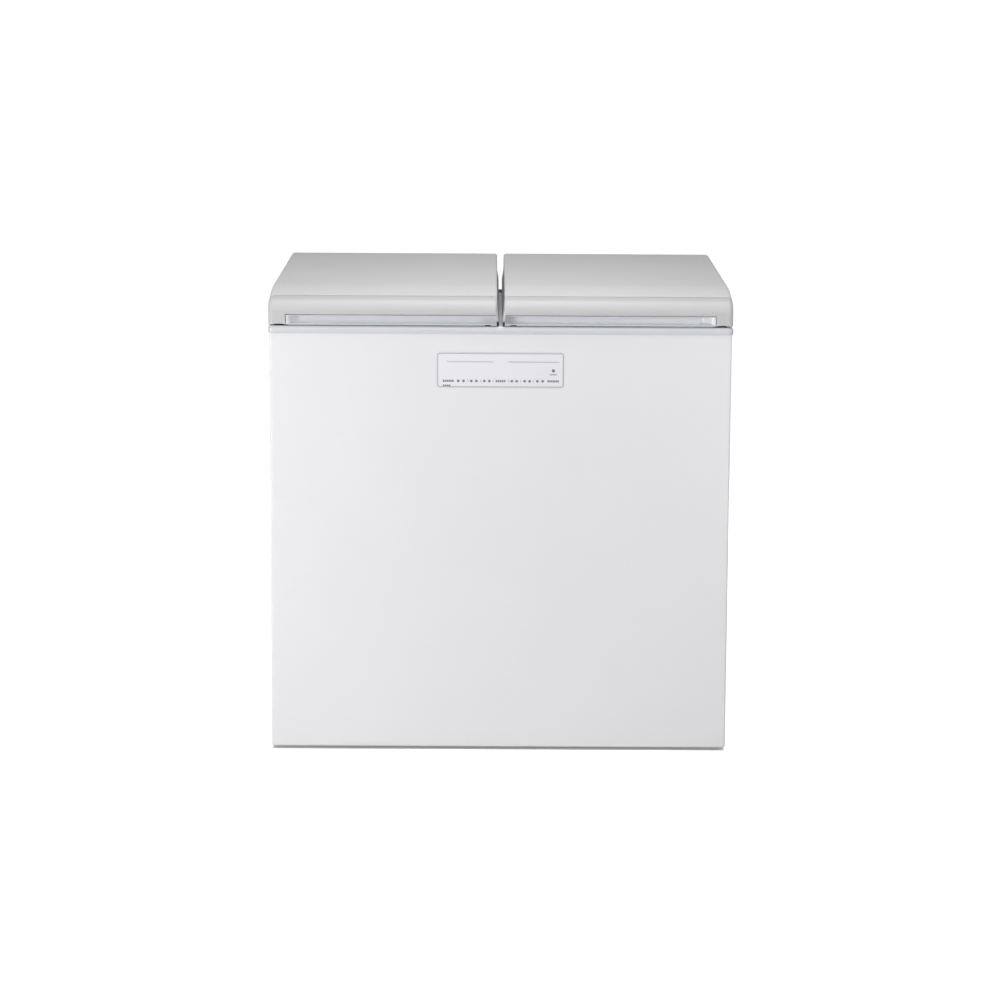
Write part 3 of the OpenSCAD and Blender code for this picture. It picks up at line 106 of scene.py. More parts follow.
def finish(name, code, rough, grain, relief, spread=0.03, mottle=0.02, stretch=(1, 1, 1),
           detail=2.0, **sockets):
    """A shaded surface with relief of the given grain and height, both in millimetres."""
    mat = bpy.data.materials.new(name)
    tree = emptied(mat)
    place = add(tree, "ShaderNodeTexCoord").outputs["Object"]
    turned = add(tree, "ShaderNodeMapping", {"Vector": place, "Scale": stretch})
    fine = add(tree, "ShaderNodeTexNoise", {
        "Vector": turned, "Scale": 1 / mm(grain), "Detail": detail})
    broad = add(tree, "ShaderNodeTexNoise", {
        "Vector": turned, "Scale": 1 / mm(BROAD), "Detail": 3.0})
    uneven = {"Value": broad, "From Min": 0.3, "From Max": 0.7}
    shade = add(tree, MAP_RANGE, {**uneven, "To Min": 1 - mottle, "To Max": 1 + mottle})
    tint = add(tree, VECTOR_MATH, {0: colour(code)[:3], "Scale": shade}, operation="SCALE")
    gloss = add(tree, MAP_RANGE, {**uneven, "To Min": rough - spread, "To Max": rough + spread})
    bump = add(tree, "ShaderNodeBump", {
        "Height": fine, "Strength": 1.0, "Distance": mm(relief)})
    shell = add(tree, "ShaderNodeBsdfPrincipled", {
        "Base Color": tint, "Roughness": gloss, "Normal": bump})
    for key, value in sockets.items():
        shell.inputs[key.replace("_", " ")].default_value = value
    add(tree, "ShaderNodeOutputMaterial", {"Surface": shell}, name="out")
    return mat


def part_of(mat, kind):
    """The one node of that kind in a finish."""
    return next(n for n in mat.node_tree.nodes if n.bl_idname == kind)


# %% [markdown]
# ## Painted and plated steel
# The front and the sides are cold-rolled steel, coated on a coil line before it is cut and
# folded. The paint flows while it is wet and sets with a faint orange peel, about 3 mm
# across and a few thousandths high. The back is the same sheet in a plainer grey coat.
# Brackets and pins are zinc plated, and the pan is hot-dip galvanised: its crystals, the
# spangle, are a few millimetres wide, so a cell pattern stands for them.

# %% Steel finishes
white_coat = finish("coil_coated_white_steel", "ECECEE", 0.45, 3.0, 0.004, spread=0.02,
                    mottle=0.004, Coat_Weight=0.1, Coat_Roughness=0.3)
grey_coat = finish("coil_coated_grey_steel", "B9BBBD", 0.42, 2.6, 0.006, mottle=0.012)
zinc_plate = finish("zinc_plated_steel", "B4B7BA", 0.34, 0.7, 0.01, mottle=0.05,
                    stretch=(1, 6, 6), Metallic=1.0)
black_enamel = finish("black_baked_enamel", "1A1B1D", 0.3, 2.0, 0.03, mottle=0.1,
                      Coat_Weight=0.3, Coat_Roughness=0.1)
galvanised = finish("hot_dip_galvanised_steel", "A9ADB0", 0.4, 1.5, 0.008, Metallic=0.9)
tree = galvanised.node_tree
cells = add(tree, "ShaderNodeTexVoronoi", {
    "Vector": part_of(galvanised, "ShaderNodeTexCoord").outputs["Object"], "Scale": 1 / mm(7)})
spangle = add(tree, MAP_RANGE, {
    "Value": cells.outputs["Color"], "To Min": 0.28, "To Max": 0.52})
tree.links.new(spangle.outputs[0],
               part_of(galvanised, "ShaderNodeBsdfPrincipled").inputs["Roughness"])
print("steel:", white_coat.name, grey_coat.name, zinc_plate.name, galvanised.name)

# %% [markdown]
# ## Moulded plastics
# The lids and the frame are moulded ABS with a satin spark texture, about 0.3 mm in grain,
# drawn here at 0.9 mm so that it still shows as a soft sheen. The liners are thermoformed
# polystyrene, smoother and whiter. The containers are polypropylene, which lets a little
# light in below its surface, so it gets some subsurface scattering.

# %% Plastic finishes
lid_abs = finish("moulded_abs_lid_grey", "C6C6C7", 0.55, 0.9, 0.008, mottle=0.004)
# The lid's cover takes a lighter grey than its front trim. This is painted light that makes the
# lid's top brighter than its front.
cover_abs_painted_lighter = finish("moulded_abs_cover_grey_painted_lighter", "D7D7D8", 0.55, 0.9, 0.008, mottle=0.004)
frame_abs = finish("moulded_abs_frame_grey", "D5D7DB", 0.4, 0.9, 0.007, mottle=0.004)
# The insert's pale bluish white is partly its own tone and partly painted light against the
# groove's shade.
insert_abs_painted_light = finish("moulded_abs_insert_white", "E6E8EC", 0.3, 0.9, 0.005, mottle=0.004)
liner_hips = finish("thermoformed_polystyrene", "E9EAEB", 0.33, 14.0, 0.03, mottle=0.008)
window_pc = finish("hard_coated_polycarbonate", "F1F0F5", 0.16, 30.0, 0.004, spread=0.01,
                   mottle=0.004, Coat_Weight=0.5, Coat_Roughness=0.04)
dark_pp = finish("moulded_black_polypropylene", "26282A", 0.5, 0.8, 0.02, mottle=0.05)
light_pp = finish("moulded_grey_polypropylene", "C9CBCC", 0.48, 0.8, 0.015)
container_pp = finish("container_polypropylene", "B9C0C6", 0.3, 9.0, 0.02,
                      Subsurface_Weight=0.15, Subsurface_Scale=0.01)
container_lid_pp = finish("container_lid_polypropylene", "DCDFE1", 0.35, 0.9, 0.01,
                          Subsurface_Weight=0.12, Subsurface_Scale=0.01)
print("plastics:", lid_abs.name, frame_abs.name, liner_hips.name, container_pp.name)

# %% [markdown]
# ## Rubber, foam, copper, aluminium, board
# Rubber bumpers and grommets are matt and nearly black. The magnetic gasket is soft grey
# PVC. Foam has visible cells. Copper is drawn tube, so its streaks run along it. The tubs
# are sheet aluminium with a stucco emboss, pressed in by a roller: a shallow relief with
# cells of about 6 mm. A circuit board is glass and resin under green solder mask.

# %% The other finishes
black_rubber = finish("black_epdm_rubber", "1B1B1C", 0.75, 0.7, 0.03, mottle=0.08)
gasket_pvc = finish("soft_grey_pvc", "8F9193", 0.62, 0.8, 0.02, mottle=0.03)
foam = finish("rigid_polyurethane_foam", "D9C68E", 0.9, 1.6, 0.25, mottle=0.06, detail=4.0)
copper = finish("drawn_copper_tube", "C9825C", 0.32, 0.8, 0.01, mottle=0.08, Metallic=1.0)
fin_stock = finish("aluminium_fin_stock", "C3C6C9", 0.35, 0.6, 0.006, Metallic=1.0)
board = finish("green_circuit_board", "15452A", 0.38, 2.2, 0.03, mottle=0.2)
tub_sheet = finish("stucco_embossed_aluminium", "C9CCCF", 0.36, 1.2, 0.004, Metallic=1.0)
tree = tub_sheet.node_tree
cells = add(tree, "ShaderNodeTexVoronoi", {
    "Vector": part_of(tub_sheet, "ShaderNodeTexCoord").outputs["Object"], "Scale": 1 / mm(6)},
    feature="SMOOTH_F1")
emboss = add(tree, "ShaderNodeBump", {
    "Height": cells.outputs["Distance"], "Strength": 1.0, "Distance": mm(0.5),
    "Normal": part_of(tub_sheet, "ShaderNodeBump")})
tree.links.new(emboss.outputs[0],
               part_of(tub_sheet, "ShaderNodeBsdfPrincipled").inputs["Normal"])
print("others:", black_rubber.name, gasket_pvc.name, copper.name, tub_sheet.name)

# %% [markdown]
# ## Finishes for the parts that the CAD already shapes
# Many parts need nothing but their finish: a folded sheet or a turned pin is exact in the
# CAD. Each one gets its material on its object's slots, and its mesh is left alone.

# %% Put the finishes on
def pair(*names):
    """The left and the right CAD part of each name."""
    return [f"{name}_{side}" for name in names for side in SIDES]


FINISH = {
    white_coat: ["front_panel", *pair("side_panel")],
    grey_coat: ["back_panel", "machine_cover"],
    galvanised: ["base_pan"],
    zinc_plate: ["caster_brackets", "caster_axles", "hinge_brackets", "hinge_pins",
                 "hinge_springs", "screws", "control_valve", *pair("lid_hinges")],
    black_enamel: ["compressor"],
    frame_abs: ["top_frame"],
    cover_abs_painted_lighter: pair("lid_cover"),
    lid_abs: pair("lid_trim"),
    liner_hips: pair("lid_liner"),
    window_pc: ["control_window"],
    dark_pp: ["starter_box", "fan_shroud", "fan_motor", *pair("caster_wheel", "foot")],
    light_pp: ["fan_blade", "control_housing", "power_case"],
    container_pp: pair("front_box", "rear_box"),
    container_lid_pp: pair("front_box_lid", "rear_box_lid"),
    black_rubber: ["lid_bumpers", "compressor_mounts", "cord_gland"],
    gasket_pvc: pair("lid_gasket"),
    foam: ["foam_block", *pair("lid_foam")],
    copper: ["condenser_tube", "filter_drier", "refrigerant_tubes"],
    fin_stock: ["condenser_fins"],
    board: ["control_board", "power_board"],
    tub_sheet: pair("tub", "evaporator"),
}
for mat, names in FINISH.items():
    for name in names:
        for slot in CAD[name].material_slots:
            slot.material = mat
print("finished CAD parts:", sum(len(n) for n in FINISH.values()), "of", len(CAD))

# %% [markdown]
# ## Sizes shared with the CAD
# The pieces made here stand for CAD parts, so they use the same planes: the lids' closed
# height, their front face, the hinge axis, the slit between them and their rounded edges.

# %% The lids' planes, in millimetres
LID_Z, LID_TOP = 850.0, 915.0
LID_FRONT = -364.0
HINGE_Y, HINGE_Z, END_R = 329.5, 882.5, 32.5
ROLL_R, CROWN_R, CROWN_Y = 26.0, 500.0, -222.0
SLIT_LOW, SLIT_TOP = 3.5, 7.0
SLIT_Z0, SLIT_Z1 = 860.0, 878.0
LID_OUT = 452.0
EDGE_SLIT, EDGE_OUT = 5.0, 9.0
SEAM_Y, SEAM_W = -328.0, 1.2
CROWN_Z = LID_TOP - CROWN_R
ROLL_Y = LID_FRONT + ROLL_R
ROLL_Z = CROWN_Z + sqrt((CROWN_R - ROLL_R) ** 2 - (CROWN_Y - ROLL_Y) ** 2)
ROLL_END = atan2(ROLL_Z - CROWN_Z, ROLL_Y - CROWN_Y)
print("roll centre, mm:", ROLL_Y, round(ROLL_Z, 2), "tangent at", round(degrees(ROLL_END)))


# %% [markdown]
# ## Ways to make a mesh
# Three ways come back all the time. A loft joins a row of equal outlines, and closes its two
# ends. A curve carries a profile. And a node tree grows a piece from a start shape by its own
# rule, with its sizes as named inputs. The tree's result is turned into a plain mesh at once.

# %% Mesh helpers
def settle(mesh, mat, angle=35):
    """Merges doubled points, turns the faces outwards and shades all but the sharp edges."""
    work = bmesh.new()
    work.from_mesh(mesh)
    bmesh.ops.remove_doubles(work, verts=work.verts, dist=mm(0.01))
    bmesh.ops.dissolve_degenerate(work, edges=work.edges, dist=mm(0.005))
    bmesh.ops.recalc_face_normals(work, faces=work.faces)
    work.to_mesh(mesh)
    work.free()
    for face in mesh.polygons:
        face.use_smooth = True
    mesh.set_sharp_from_angle(angle=radians(angle))
    if not mesh.materials:
        mesh.materials.append(mat)
    mesh.update()


def show(name, data):
    """Puts a mesh, a curve, a camera or a lamp in the scene, at the origin."""
    piece = bpy.data.objects.new(name, data)
    bpy.context.scene.collection.objects.link(piece)
    return piece


def tell(piece):
    """Prints a piece's name and how many faces it has."""
    print(piece.name, len(piece.data.polygons), "faces")


def loft(name, rows, mat, ends=True, angle=35):
    """Skins a row of outlines with equal numbers of points. Sizes are in millimetres."""
    count = len(rows[0])
    points = [[mm(v) for v in p] for row in rows for p in row]
    faces = []
    for i in range(len(rows) - 1):
        for k in range(count):
            a, b = i * count + k, i * count + (k + 1) % count
            faces.append((a, b, b + count, a + count))
    if ends:
        faces.append(tuple(range(count)))
        faces.append(tuple(range((len(rows) - 1) * count, len(rows) * count)))
    mesh = bpy.data.meshes.new(name)
    mesh.from_pydata(points, [], faces)
    settle(mesh, mat, angle)
    return show(name, mesh)


def arc(cy, cz, r, a0, a1, n):
    """Points on an arc about (cy, cz), with angles in radians."""
    return [(cy + r * cos(a0 + (a1 - a0) * i / n),
             cz + r * sin(a0 + (a1 - a0) * i / n)) for i in range(n + 1)]


def rounding(steps=8):
    """Points round an edge of radius 1: one distance rises to 1 as the other falls to 0."""
    angles = [pi / 2 * i / steps for i in range(steps + 1)]
    return [(1 - cos(a), 1 - sin(a)) for a in angles]


# %% Tree helpers
def new_tree(name, sizes):
    """An empty geometry tree with a named input for each size, and those inputs."""
    made = bpy.data.node_groups.new(name, "GeometryNodeTree")
    made.interface.new_socket("Start", in_out="INPUT", socket_type="NodeSocketGeometry")
    for label, value in sizes.items():
        size = made.interface.new_socket(label, in_out="INPUT", socket_type="NodeSocketFloat")
        size.default_value = value
    made.interface.new_socket("Result", in_out="OUTPUT", socket_type="NodeSocketGeometry")
    return made, add(made, "NodeGroupInput").outputs


def close_tree(made, geometry, mat):
    """Every tree ends alike: real copies, smooth shading and the finish."""
    real = add(made, "GeometryNodeRealizeInstances", {"Geometry": geometry})
    smooth = add(made, "GeometryNodeSetShadeSmooth", {"Geometry": real})
    done = add(made, "GeometryNodeSetMaterial", {"Geometry": smooth, "Material": mat})
    add(made, "NodeGroupOutput", {0: done})
    return made


def grow(name, start, made, mat, **sizes):
    """Runs a tree on a start object and keeps the result as a plain mesh."""
    rule = start.modifiers.new("rule", "NODES")
    rule.node_group = made
    for item in made.interface.items_tree:
        if item.in_out == "INPUT" and item.name in sizes:
            rule[item.identifier] = sizes[item.name]
    graph = bpy.context.evaluated_depsgraph_get()
    mesh = bpy.data.meshes.new_from_object(start.evaluated_get(graph))
    start.modifiers.remove(rule)
    bpy.data.objects.remove(start)
    mesh.name = name
    settle(mesh, mat)
    return show(name, mesh)


# %% Two kinds of start for a tree
def line_of(name, points, cyclic=False):
    """A curve through points in millimetres, as the start of a tree."""
    data = bpy.data.curves.new(name, "CURVE")
    data.dimensions = "3D"
    spline = data.splines.new("POLY")
    spline.points.add(len(points) - 1)
    for point, at in zip(spline.points, points):
        point.co = (*[mm(v) for v in at], 1)
    spline.use_cyclic_u = cyclic
    return show(name, data)


def dots_of(name, points):
    """Loose points in metres, as the start of a tree that puts a copy on each."""
    mesh = bpy.data.meshes.new(name)
    mesh.from_pydata([tuple(p) for p in points], [], [])
    return show(name, mesh)


# %% [markdown]
# ## The lids' covers
# A real lid cover is one moulding: a gently crowned top, a round back edge that turns about
# the hinge, and walls that hang down at the slit and at the outside. Its shape follows a
# rule: a section across the lid travels along the lid's side outline, always square to it.
# So the first tree takes the outline as a curve, sweeps the section along it, and then
# places each point: outward by its place in the section, and inward by its depth, straight
# down along the flat part and towards the hinge axis along the round edge. A bevel then
# softens the cover's rims, so that the seam to the front trim catches the light.

# %% The section and the outline of a lid
def lid_outline():
    """The side outline behind the seam: crown, level top, upper half of the round edge."""
    start = acos((SEAM_Y + SEAM_W / 2 - CROWN_Y) / CROWN_R)
    crown = arc(CROWN_Y, CROWN_Z, CROWN_R, start, pi / 2, 14)
    level = [(CROWN_Y + (HINGE_Y - CROWN_Y) * i / 8, LID_TOP) for i in range(1, 9)]
    back = arc(HINGE_Y, HINGE_Z, END_R, pi / 2, 0, 24)[1:]
    return crown + level + back


def lid_section():
    """Half of a lid seen from the front: (distance from the middle, depth below the top)."""
    depth = LID_TOP - LID_Z
    slit = [(SLIT_LOW, depth), (SLIT_LOW, LID_TOP - SLIT_Z0), (SLIT_TOP, LID_TOP - SLIT_Z1)]
    inner = [(SLIT_TOP + EDGE_SLIT * rise, EDGE_SLIT * fall) for rise, fall in rounding()]
    outer = [(LID_OUT - EDGE_OUT * fall, EDGE_OUT * rise) for rise, fall in rounding()]
    return slit + inner + outer + [(LID_OUT, depth)]


print("outline points:", len(lid_outline()), "section points:", len(lid_section()))

# %% [markdown]
# ## A rule that carries a section along a path
# Curve to Mesh joins the two, but it chooses by itself which way up the section stands. So
# the path's place and direction, and the section's own two sizes, are captured first. After
# the join each point is placed from those, and nothing is left to chance.

# %% The common part of the two sweeping rules
def carry(made, start):
    """Joins path and section. Returns the mesh, path place, direction, across and up."""
    made.interface.new_socket("Section", in_out="INPUT", socket_type="NodeSocketObject")
    at = add(made, "GeometryNodeInputPosition")
    along = add(made, "GeometryNodeInputTangent")
    kept = add(made, "GeometryNodeCaptureAttribute", domain="POINT")
    kept.capture_items.new("VECTOR", "Place")
    kept.capture_items.new("VECTOR", "Way")
    for value, socket in zip((start["Start"], at.outputs[0], along.outputs[0]), kept.inputs):
        made.links.new(value, socket)
    drawn = add(made, "GeometryNodeObjectInfo", {"Object": start["Section"]})
    outline = add(made, "GeometryNodeCaptureAttribute", domain="POINT")
    outline.capture_items.new("VECTOR", "Drawn")
    for value, socket in zip((drawn.outputs["Geometry"], at.outputs[0]), outline.inputs):
        made.links.new(value, socket)
    joined = add(made, "GeometryNodeCurveToMesh", {"Curve": kept, "Profile Curve": outline})
    across, up, _ = add(made, "ShaderNodeSeparateXYZ", {0: outline.outputs[1]}).outputs
    return joined, kept.outputs[1], kept.outputs[2], across, up


# %% The lid cover's tree
def cover_rule(mat):
    """Section across the lid, outline along it, walls down or towards the hinge axis."""
    made, start = new_tree("lid cover", {
        "Side": 1.0, "Edge": mm(EDGE_OUT), "Underside": mm(LID_Z), "Hinge y": mm(HINGE_Y),
        "Round radius": mm(END_R), "Slit": mm(SLIT_TOP)})
    mesh, place, way, across, depth = carry(made, start)
    switch = "GeometryNodeSwitch"
    at = add(made, "ShaderNodeSeparateXYZ", {0: place}).outputs
    to = add(made, "ShaderNodeSeparateXYZ", {0: way}).outputs
    rear = add(made, "FunctionNodeCompare", {"A": at[1], "B": start["Hinge y"]},
               operation="GREATER_THAN", data_type="FLOAT")
    level = add(made, MATH, {0: at[2], 1: start["Underside"]}, operation="SUBTRACT")
    reach = add(made, switch, {"Switch": rear, "False": level, "True": start["Round radius"]},
                input_type="FLOAT")
    within = add(made, MATH, {0: depth, 1: reach}, operation="MINIMUM")
    edge = add(made, MATH, {0: depth, 1: start["Edge"]}, operation="MINIMUM")
    wall = add(made, MATH, {0: within, 1: edge}, operation="SUBTRACT")
    turned = add(made, MATH, {0: to[2], 1: -1.0}, operation="MULTIPLY")
    inward = add(made, COMBINE, {1: turned, 2: to[1]})
    down = add(made, switch, {"Switch": rear, "False": (0.0, 0.0, 1.0), "True": inward},
               input_type="VECTOR")
    near = add(made, VECTOR_MATH, {0: inward, "Scale": edge}, operation="SCALE")
    far = add(made, VECTOR_MATH, {0: down, "Scale": wall}, operation="SCALE")
    kept = add(made, MATH, {0: across, 1: start["Slit"]}, operation="MAXIMUM")
    out = add(made, switch, {"Switch": rear, "False": across, "True": kept},
              input_type="FLOAT")
    sided = add(made, MATH, {0: out, 1: start["Side"]}, operation="MULTIPLY")
    beside = add(made, COMBINE, {0: sided, 1: at[1], 2: at[2]})
    first = add(made, VECTOR_MATH, {0: beside, 1: near}, operation="SUBTRACT")
    last = add(made, VECTOR_MATH, {0: first, 1: far}, operation="SUBTRACT")
    placed = add(made, "GeometryNodeSetPosition", {"Geometry": mesh, "Position": last})
    return close_tree(made, placed, mat)


cover_tree = cover_rule(cover_abs_painted_lighter)
section = line_of("lid section", [(x, depth, 0) for x, depth in lid_section()])
for side, sign in SIDES.items():
    outline = line_of("outline", [(0, y, z) for y, z in lid_outline()])
    cover = grow(f"lid_cover_skin_{side}", outline, cover_tree, cover_abs_painted_lighter, Side=float(sign),
                 Section=section)
    shell = cover.modifiers.new("wall", "SOLIDIFY")
    shell.thickness, shell.offset, shell.use_even_offset = mm(2.5), -1, True
    soft = cover.modifiers.new("edge", "BEVEL")
    soft.width, soft.segments = mm(0.8), 3
    soft.limit_method, soft.angle_limit = "ANGLE", radians(50)
    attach(cover, f"lid_{side}")
    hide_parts(f"lid_cover_{side}")
    tell(cover)
bpy.data.objects.remove(section)

# %% [markdown]
# ## The cheeks at the back
# Below the hinge axis the cover is open at the back, so that the hinges can turn, and only
# its two side walls go on. Each wall ends in a quarter of a disc about the axis. Its rounded
# rim thins out towards the underside. A row of slices, turned about the axis, makes it. At
# the slit the disc leans with the wall.

# %% Quarter discs that close the lid's ends
def slit_x(z):
    """How far the lid's slit side stands from the middle at a height."""
    t = min(max((z - SLIT_Z0) / (SLIT_Z1 - SLIT_Z0), 0), 1)
    return SLIT_LOW + (SLIT_TOP - SLIT_LOW) * t


def cheek(side, sign, outer, edge, thick=2.5, steps=16):
    """One quarter disc, at the lid's upright outer side or at its leaning slit side."""
    rows = []
    for i in range(steps + 1):
        turn = -pi / 2 * i / steps
        round_r = edge + (0.6 - edge) * i / steps
        rim = []
        for k in range(7):
            deep = min(round_r, thick) * k / 6
            reach = END_R - round_r + sqrt(round_r ** 2 - (round_r - deep) ** 2)
            rim.append((deep, reach))
        row = []
        for deep, r in [(0, 0.4), *rim, (thick, rim[-1][1]), (thick, 0.4)]:
            z = HINGE_Z + r * sin(turn)
            x = LID_OUT - deep if outer else slit_x(z) + deep
            row.append((sign * x, HINGE_Y + r * cos(turn), z))
        rows.append(row)
    place = "outer" if outer else "inner"
    return loft(f"lid_cheek_{side}_{place}", rows, cover_abs_painted_lighter, angle=40)


for side, sign in SIDES.items():
    for made in (cheek(side, sign, True, EDGE_OUT), cheek(side, sign, False, EDGE_SLIT)):
        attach(made, f"lid_{side}")
        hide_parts(f"lid_cover_{side}")
        tell(made)

# %% [markdown]
# ## The front trim and its hand groove
# The lid's front edge is a second moulding. It rolls over by 26 mm, drops to a flat face,
# and has a groove along its lower edge that the fingers pull at. A row of closed outlines
# makes it: each one is the trim cut square across at one distance from the middle. At the
# two ends the outline shrinks, which rounds the corner, and the groove's depth runs out
# over a short ramp near the outer end. A notch by the slit leaves room for a rubber post.
# The groove holds an insert, set back under a narrow slot that stays in shadow. Its paler
# finish is partly its own bluish tone and partly painted light that lifts the groove's shaded
# hollow. It is part of the same outlines, and its faces are then split off to take their own
# finish.

# %% One outline of the trim
GROOVE_TOP, GROOVE_LOW, GROOVE_DEPTH = 870.0, 853.0, 20.0
GROOVE_IN, GROOVE_OUT, GROOVE_RAMP = 8.2, 419.0, 30.0
SLOT_H, SLOT_DEPTH, INSERT_T, INSERT_SET = 1.3, 7.0, 0.8, 2.2
POST_NOTCH = (7.8, -355.0, 859.0)
CORNER_IN = 4.0


def rounded(points, radii, steps=4):
    """A path with each corner replaced by an arc, or left as it is where the radius is 0."""
    out = [points[0]]
    for before, at, after, r in zip(points, points[1:-1], points[2:], radii):
        a, b = Vector(before) - Vector(at), Vector(after) - Vector(at)
        if a.length < 1e-6 or b.length < 1e-6:
            out += [at] * (steps + 1)
            continue
        half = a.angle(b) / 2
        cut = min(r / tan(half), a.length * 0.49, b.length * 0.49) if half < 1.55 else 0
        p, q = Vector(at) + a.normalized() * cut, Vector(at) + b.normalized() * cut
        for i in range(steps + 1):
            t = i / steps
            out.append(tuple(p * (1 - t) ** 2 + Vector(at) * 2 * t * (1 - t) + q * t ** 2))
    out.append(points[-1])
    return out


def trim_outline(inset, depth, notched, arch=0.0):
    """The trim cut across: roll, face, groove of the given depth, lip, arched underside."""
    face = LID_FRONT + inset
    back = SEAM_Y - SEAM_W / 2
    start = acos((back - CROWN_Y) / CROWN_R)
    crown = arc(CROWN_Y, CROWN_Z, CROWN_R - inset, start + 0.9 / CROWN_R, ROLL_END, 2)
    edge = CROWN_Z + (CROWN_R - inset) * sin(start)
    top = [(back, edge - 0.9), (back - 0.25, edge - 0.3)] + crown
    roll = arc(ROLL_Y, ROLL_Z, ROLL_R - inset, ROLL_END, pi, 18)[1:]
    slot, low = GROOVE_TOP - SLOT_H, GROOVE_TOP - SLOT_H - INSERT_T
    if notched:
        post_y, post_z = POST_NOTCH[1:]
        corners = [(face, z) for z in (GROOVE_TOP, slot, low, 866, 864, 862)]
        corners += [(face, post_z), (post_y, post_z), (post_y, LID_Z)]
        radii = [0] * 9
    elif depth > 0:
        lip = face + min(INSERT_SET, depth)
        corners = [(face, GROOVE_TOP), (face + SLOT_DEPTH, GROOVE_TOP),
                   (face + SLOT_DEPTH, slot), (lip, slot), (lip, low), (face + depth, low),
                   (face + depth, GROOVE_LOW), (face, GROOVE_LOW), (face, LID_Z + arch)]
        radii = [2.0, 0.3, 0.3, 0.2, 0.2, 2.0, 2.5, 0.6, 0.6]
    else:
        corners = [(face, z) for z in (GROOVE_TOP, slot, low, 866, 864, 860, 857)]
        corners += [(face, GROOVE_LOW + arch), (face, LID_Z + arch)]
        radii = [0] * 7 + [0.6, 0.6]
    lower = rounded([roll[-1]] + corners + [(face + 12, LID_Z + arch), (back, LID_Z)],
                    radii + [0])
    return top + roll[:-1] + lower


# %% The trim's cuts, from the slit outwards
ARCHES = [(25.0, 10.0, 1.3), (431.0, 20.0, 1.9)]


def arch_at(x):
    """How far the underside rises over a rubber bumper: a bell of given middle and half."""
    return sum(high * (0.5 + 0.5 * cos(pi * min(abs(x - mid) / half, 1)))
               for mid, half, high in ARCHES)


def column(x, inset=0, depth=0, notched=False, leans=False):
    """One cut of the trim: its distance from the middle, and what shapes its outline."""
    return x, inset, depth, notched, leans


def trim_columns():
    """The trim's cuts from the slit, whose lean the first ones follow, to the outer end."""
    plain, close, shallow = GROOVE_OUT - GROOVE_RAMP, 35, 1.4
    cols = [column(CORNER_IN * rise, EDGE_SLIT * fall, 0, True, True)
            for rise, fall in rounding()]
    cols += [column(POST_NOTCH[0], notched=True), column(POST_NOTCH[0] + 0.02),
             column(GROOVE_IN), column(GROOVE_IN + 0.3, 0, GROOVE_DEPTH)]
    cols += [column(15 + 2.5 * i, 0, GROOVE_DEPTH) for i in range(9)]
    cols += [column(close + (plain - close) * i / 8, 0, GROOVE_DEPTH) for i in range(1, 9)]
    for i in range(1, 15):
        t = i / 14
        fall = GROOVE_DEPTH - (GROOVE_DEPTH - shallow) * (t * t * (3 - 2 * t))
        cols.append(column(plain + (GROOVE_RAMP - SLOT_H) * t, 0, fall))
    cols += [column(GROOVE_OUT - SLOT_H + 0.05, 0, SLOT_DEPTH),
             column(GROOVE_OUT, 0, SLOT_DEPTH), column(GROOVE_OUT + 0.1)]
    cols += [column(GROOVE_OUT + 3 * i) for i in range(1, 8)]
    cols += [column(LID_OUT - EDGE_OUT * fall, EDGE_OUT * rise) for rise, fall in rounding()]
    return cols


# %% The groove's insert, split off
def split_off(piece, name, mat, wanted):
    """Moves the wanted faces of a piece into a new sheet of the given finish."""
    kept, moved = bmesh.new(), bmesh.new()
    for work, remove in ((kept, True), (moved, False)):
        work.from_mesh(piece.data)
        gone = [f for f in work.faces if wanted(f.calc_center_median()) == remove]
        bmesh.ops.delete(work, geom=gone, context="FACES")
    mesh = bpy.data.meshes.new(name)
    moved.to_mesh(mesh)
    kept.to_mesh(piece.data)
    kept.free()
    moved.free()
    mesh.materials.append(mat)
    mesh.set_sharp_from_angle(angle=radians(40))
    piece.data.set_sharp_from_angle(angle=radians(40))
    return show(name, mesh)


def in_groove(at):
    """Whether a point of the trim, in metres, lies on the groove's insert."""
    low = GROOVE_TOP - SLOT_H
    return (mm(GROOVE_LOW - 0.4) < at.z < mm(low + 0.1) and at.y > mm(LID_FRONT + 0.7)
            and at.y < mm(LID_FRONT + GROOVE_DEPTH + 0.5)
            and mm(GROOVE_IN + 0.2) < abs(at.x) < mm(GROOVE_OUT - SLOT_H))


# %% Both trims
def trim(side, sign):
    """The whole trim of one lid, and the insert in its groove."""
    rows = []
    for x, inset, depth, notched, leans in trim_columns():
        row = []
        for y, z in trim_outline(inset, depth, notched, 0 if notched else arch_at(x)):
            away = slit_x(z) + x if leans else max(x, slit_x(z) + CORNER_IN)
            row.append((sign * away, y, z))
        rows.append(row)
    skin = loft(f"lid_trim_skin_{side}", rows, lid_abs, angle=40)
    insert = split_off(skin, f"hand_groove_insert_{side}", insert_abs_painted_light, in_groove)
    for made in (skin, insert):
        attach(made, f"lid_{side}")
        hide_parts(f"lid_trim_{side}")
        tell(made)


for side, sign in SIDES.items():
    trim(side, sign)

# %% [markdown]
# ## The lip in the gap
# A soft grey lip lies on the frame behind its front edge and keeps dust out of the gap under
# the lids. It stops at the rubber bumpers, which therefore show as the gap's only dark spots.

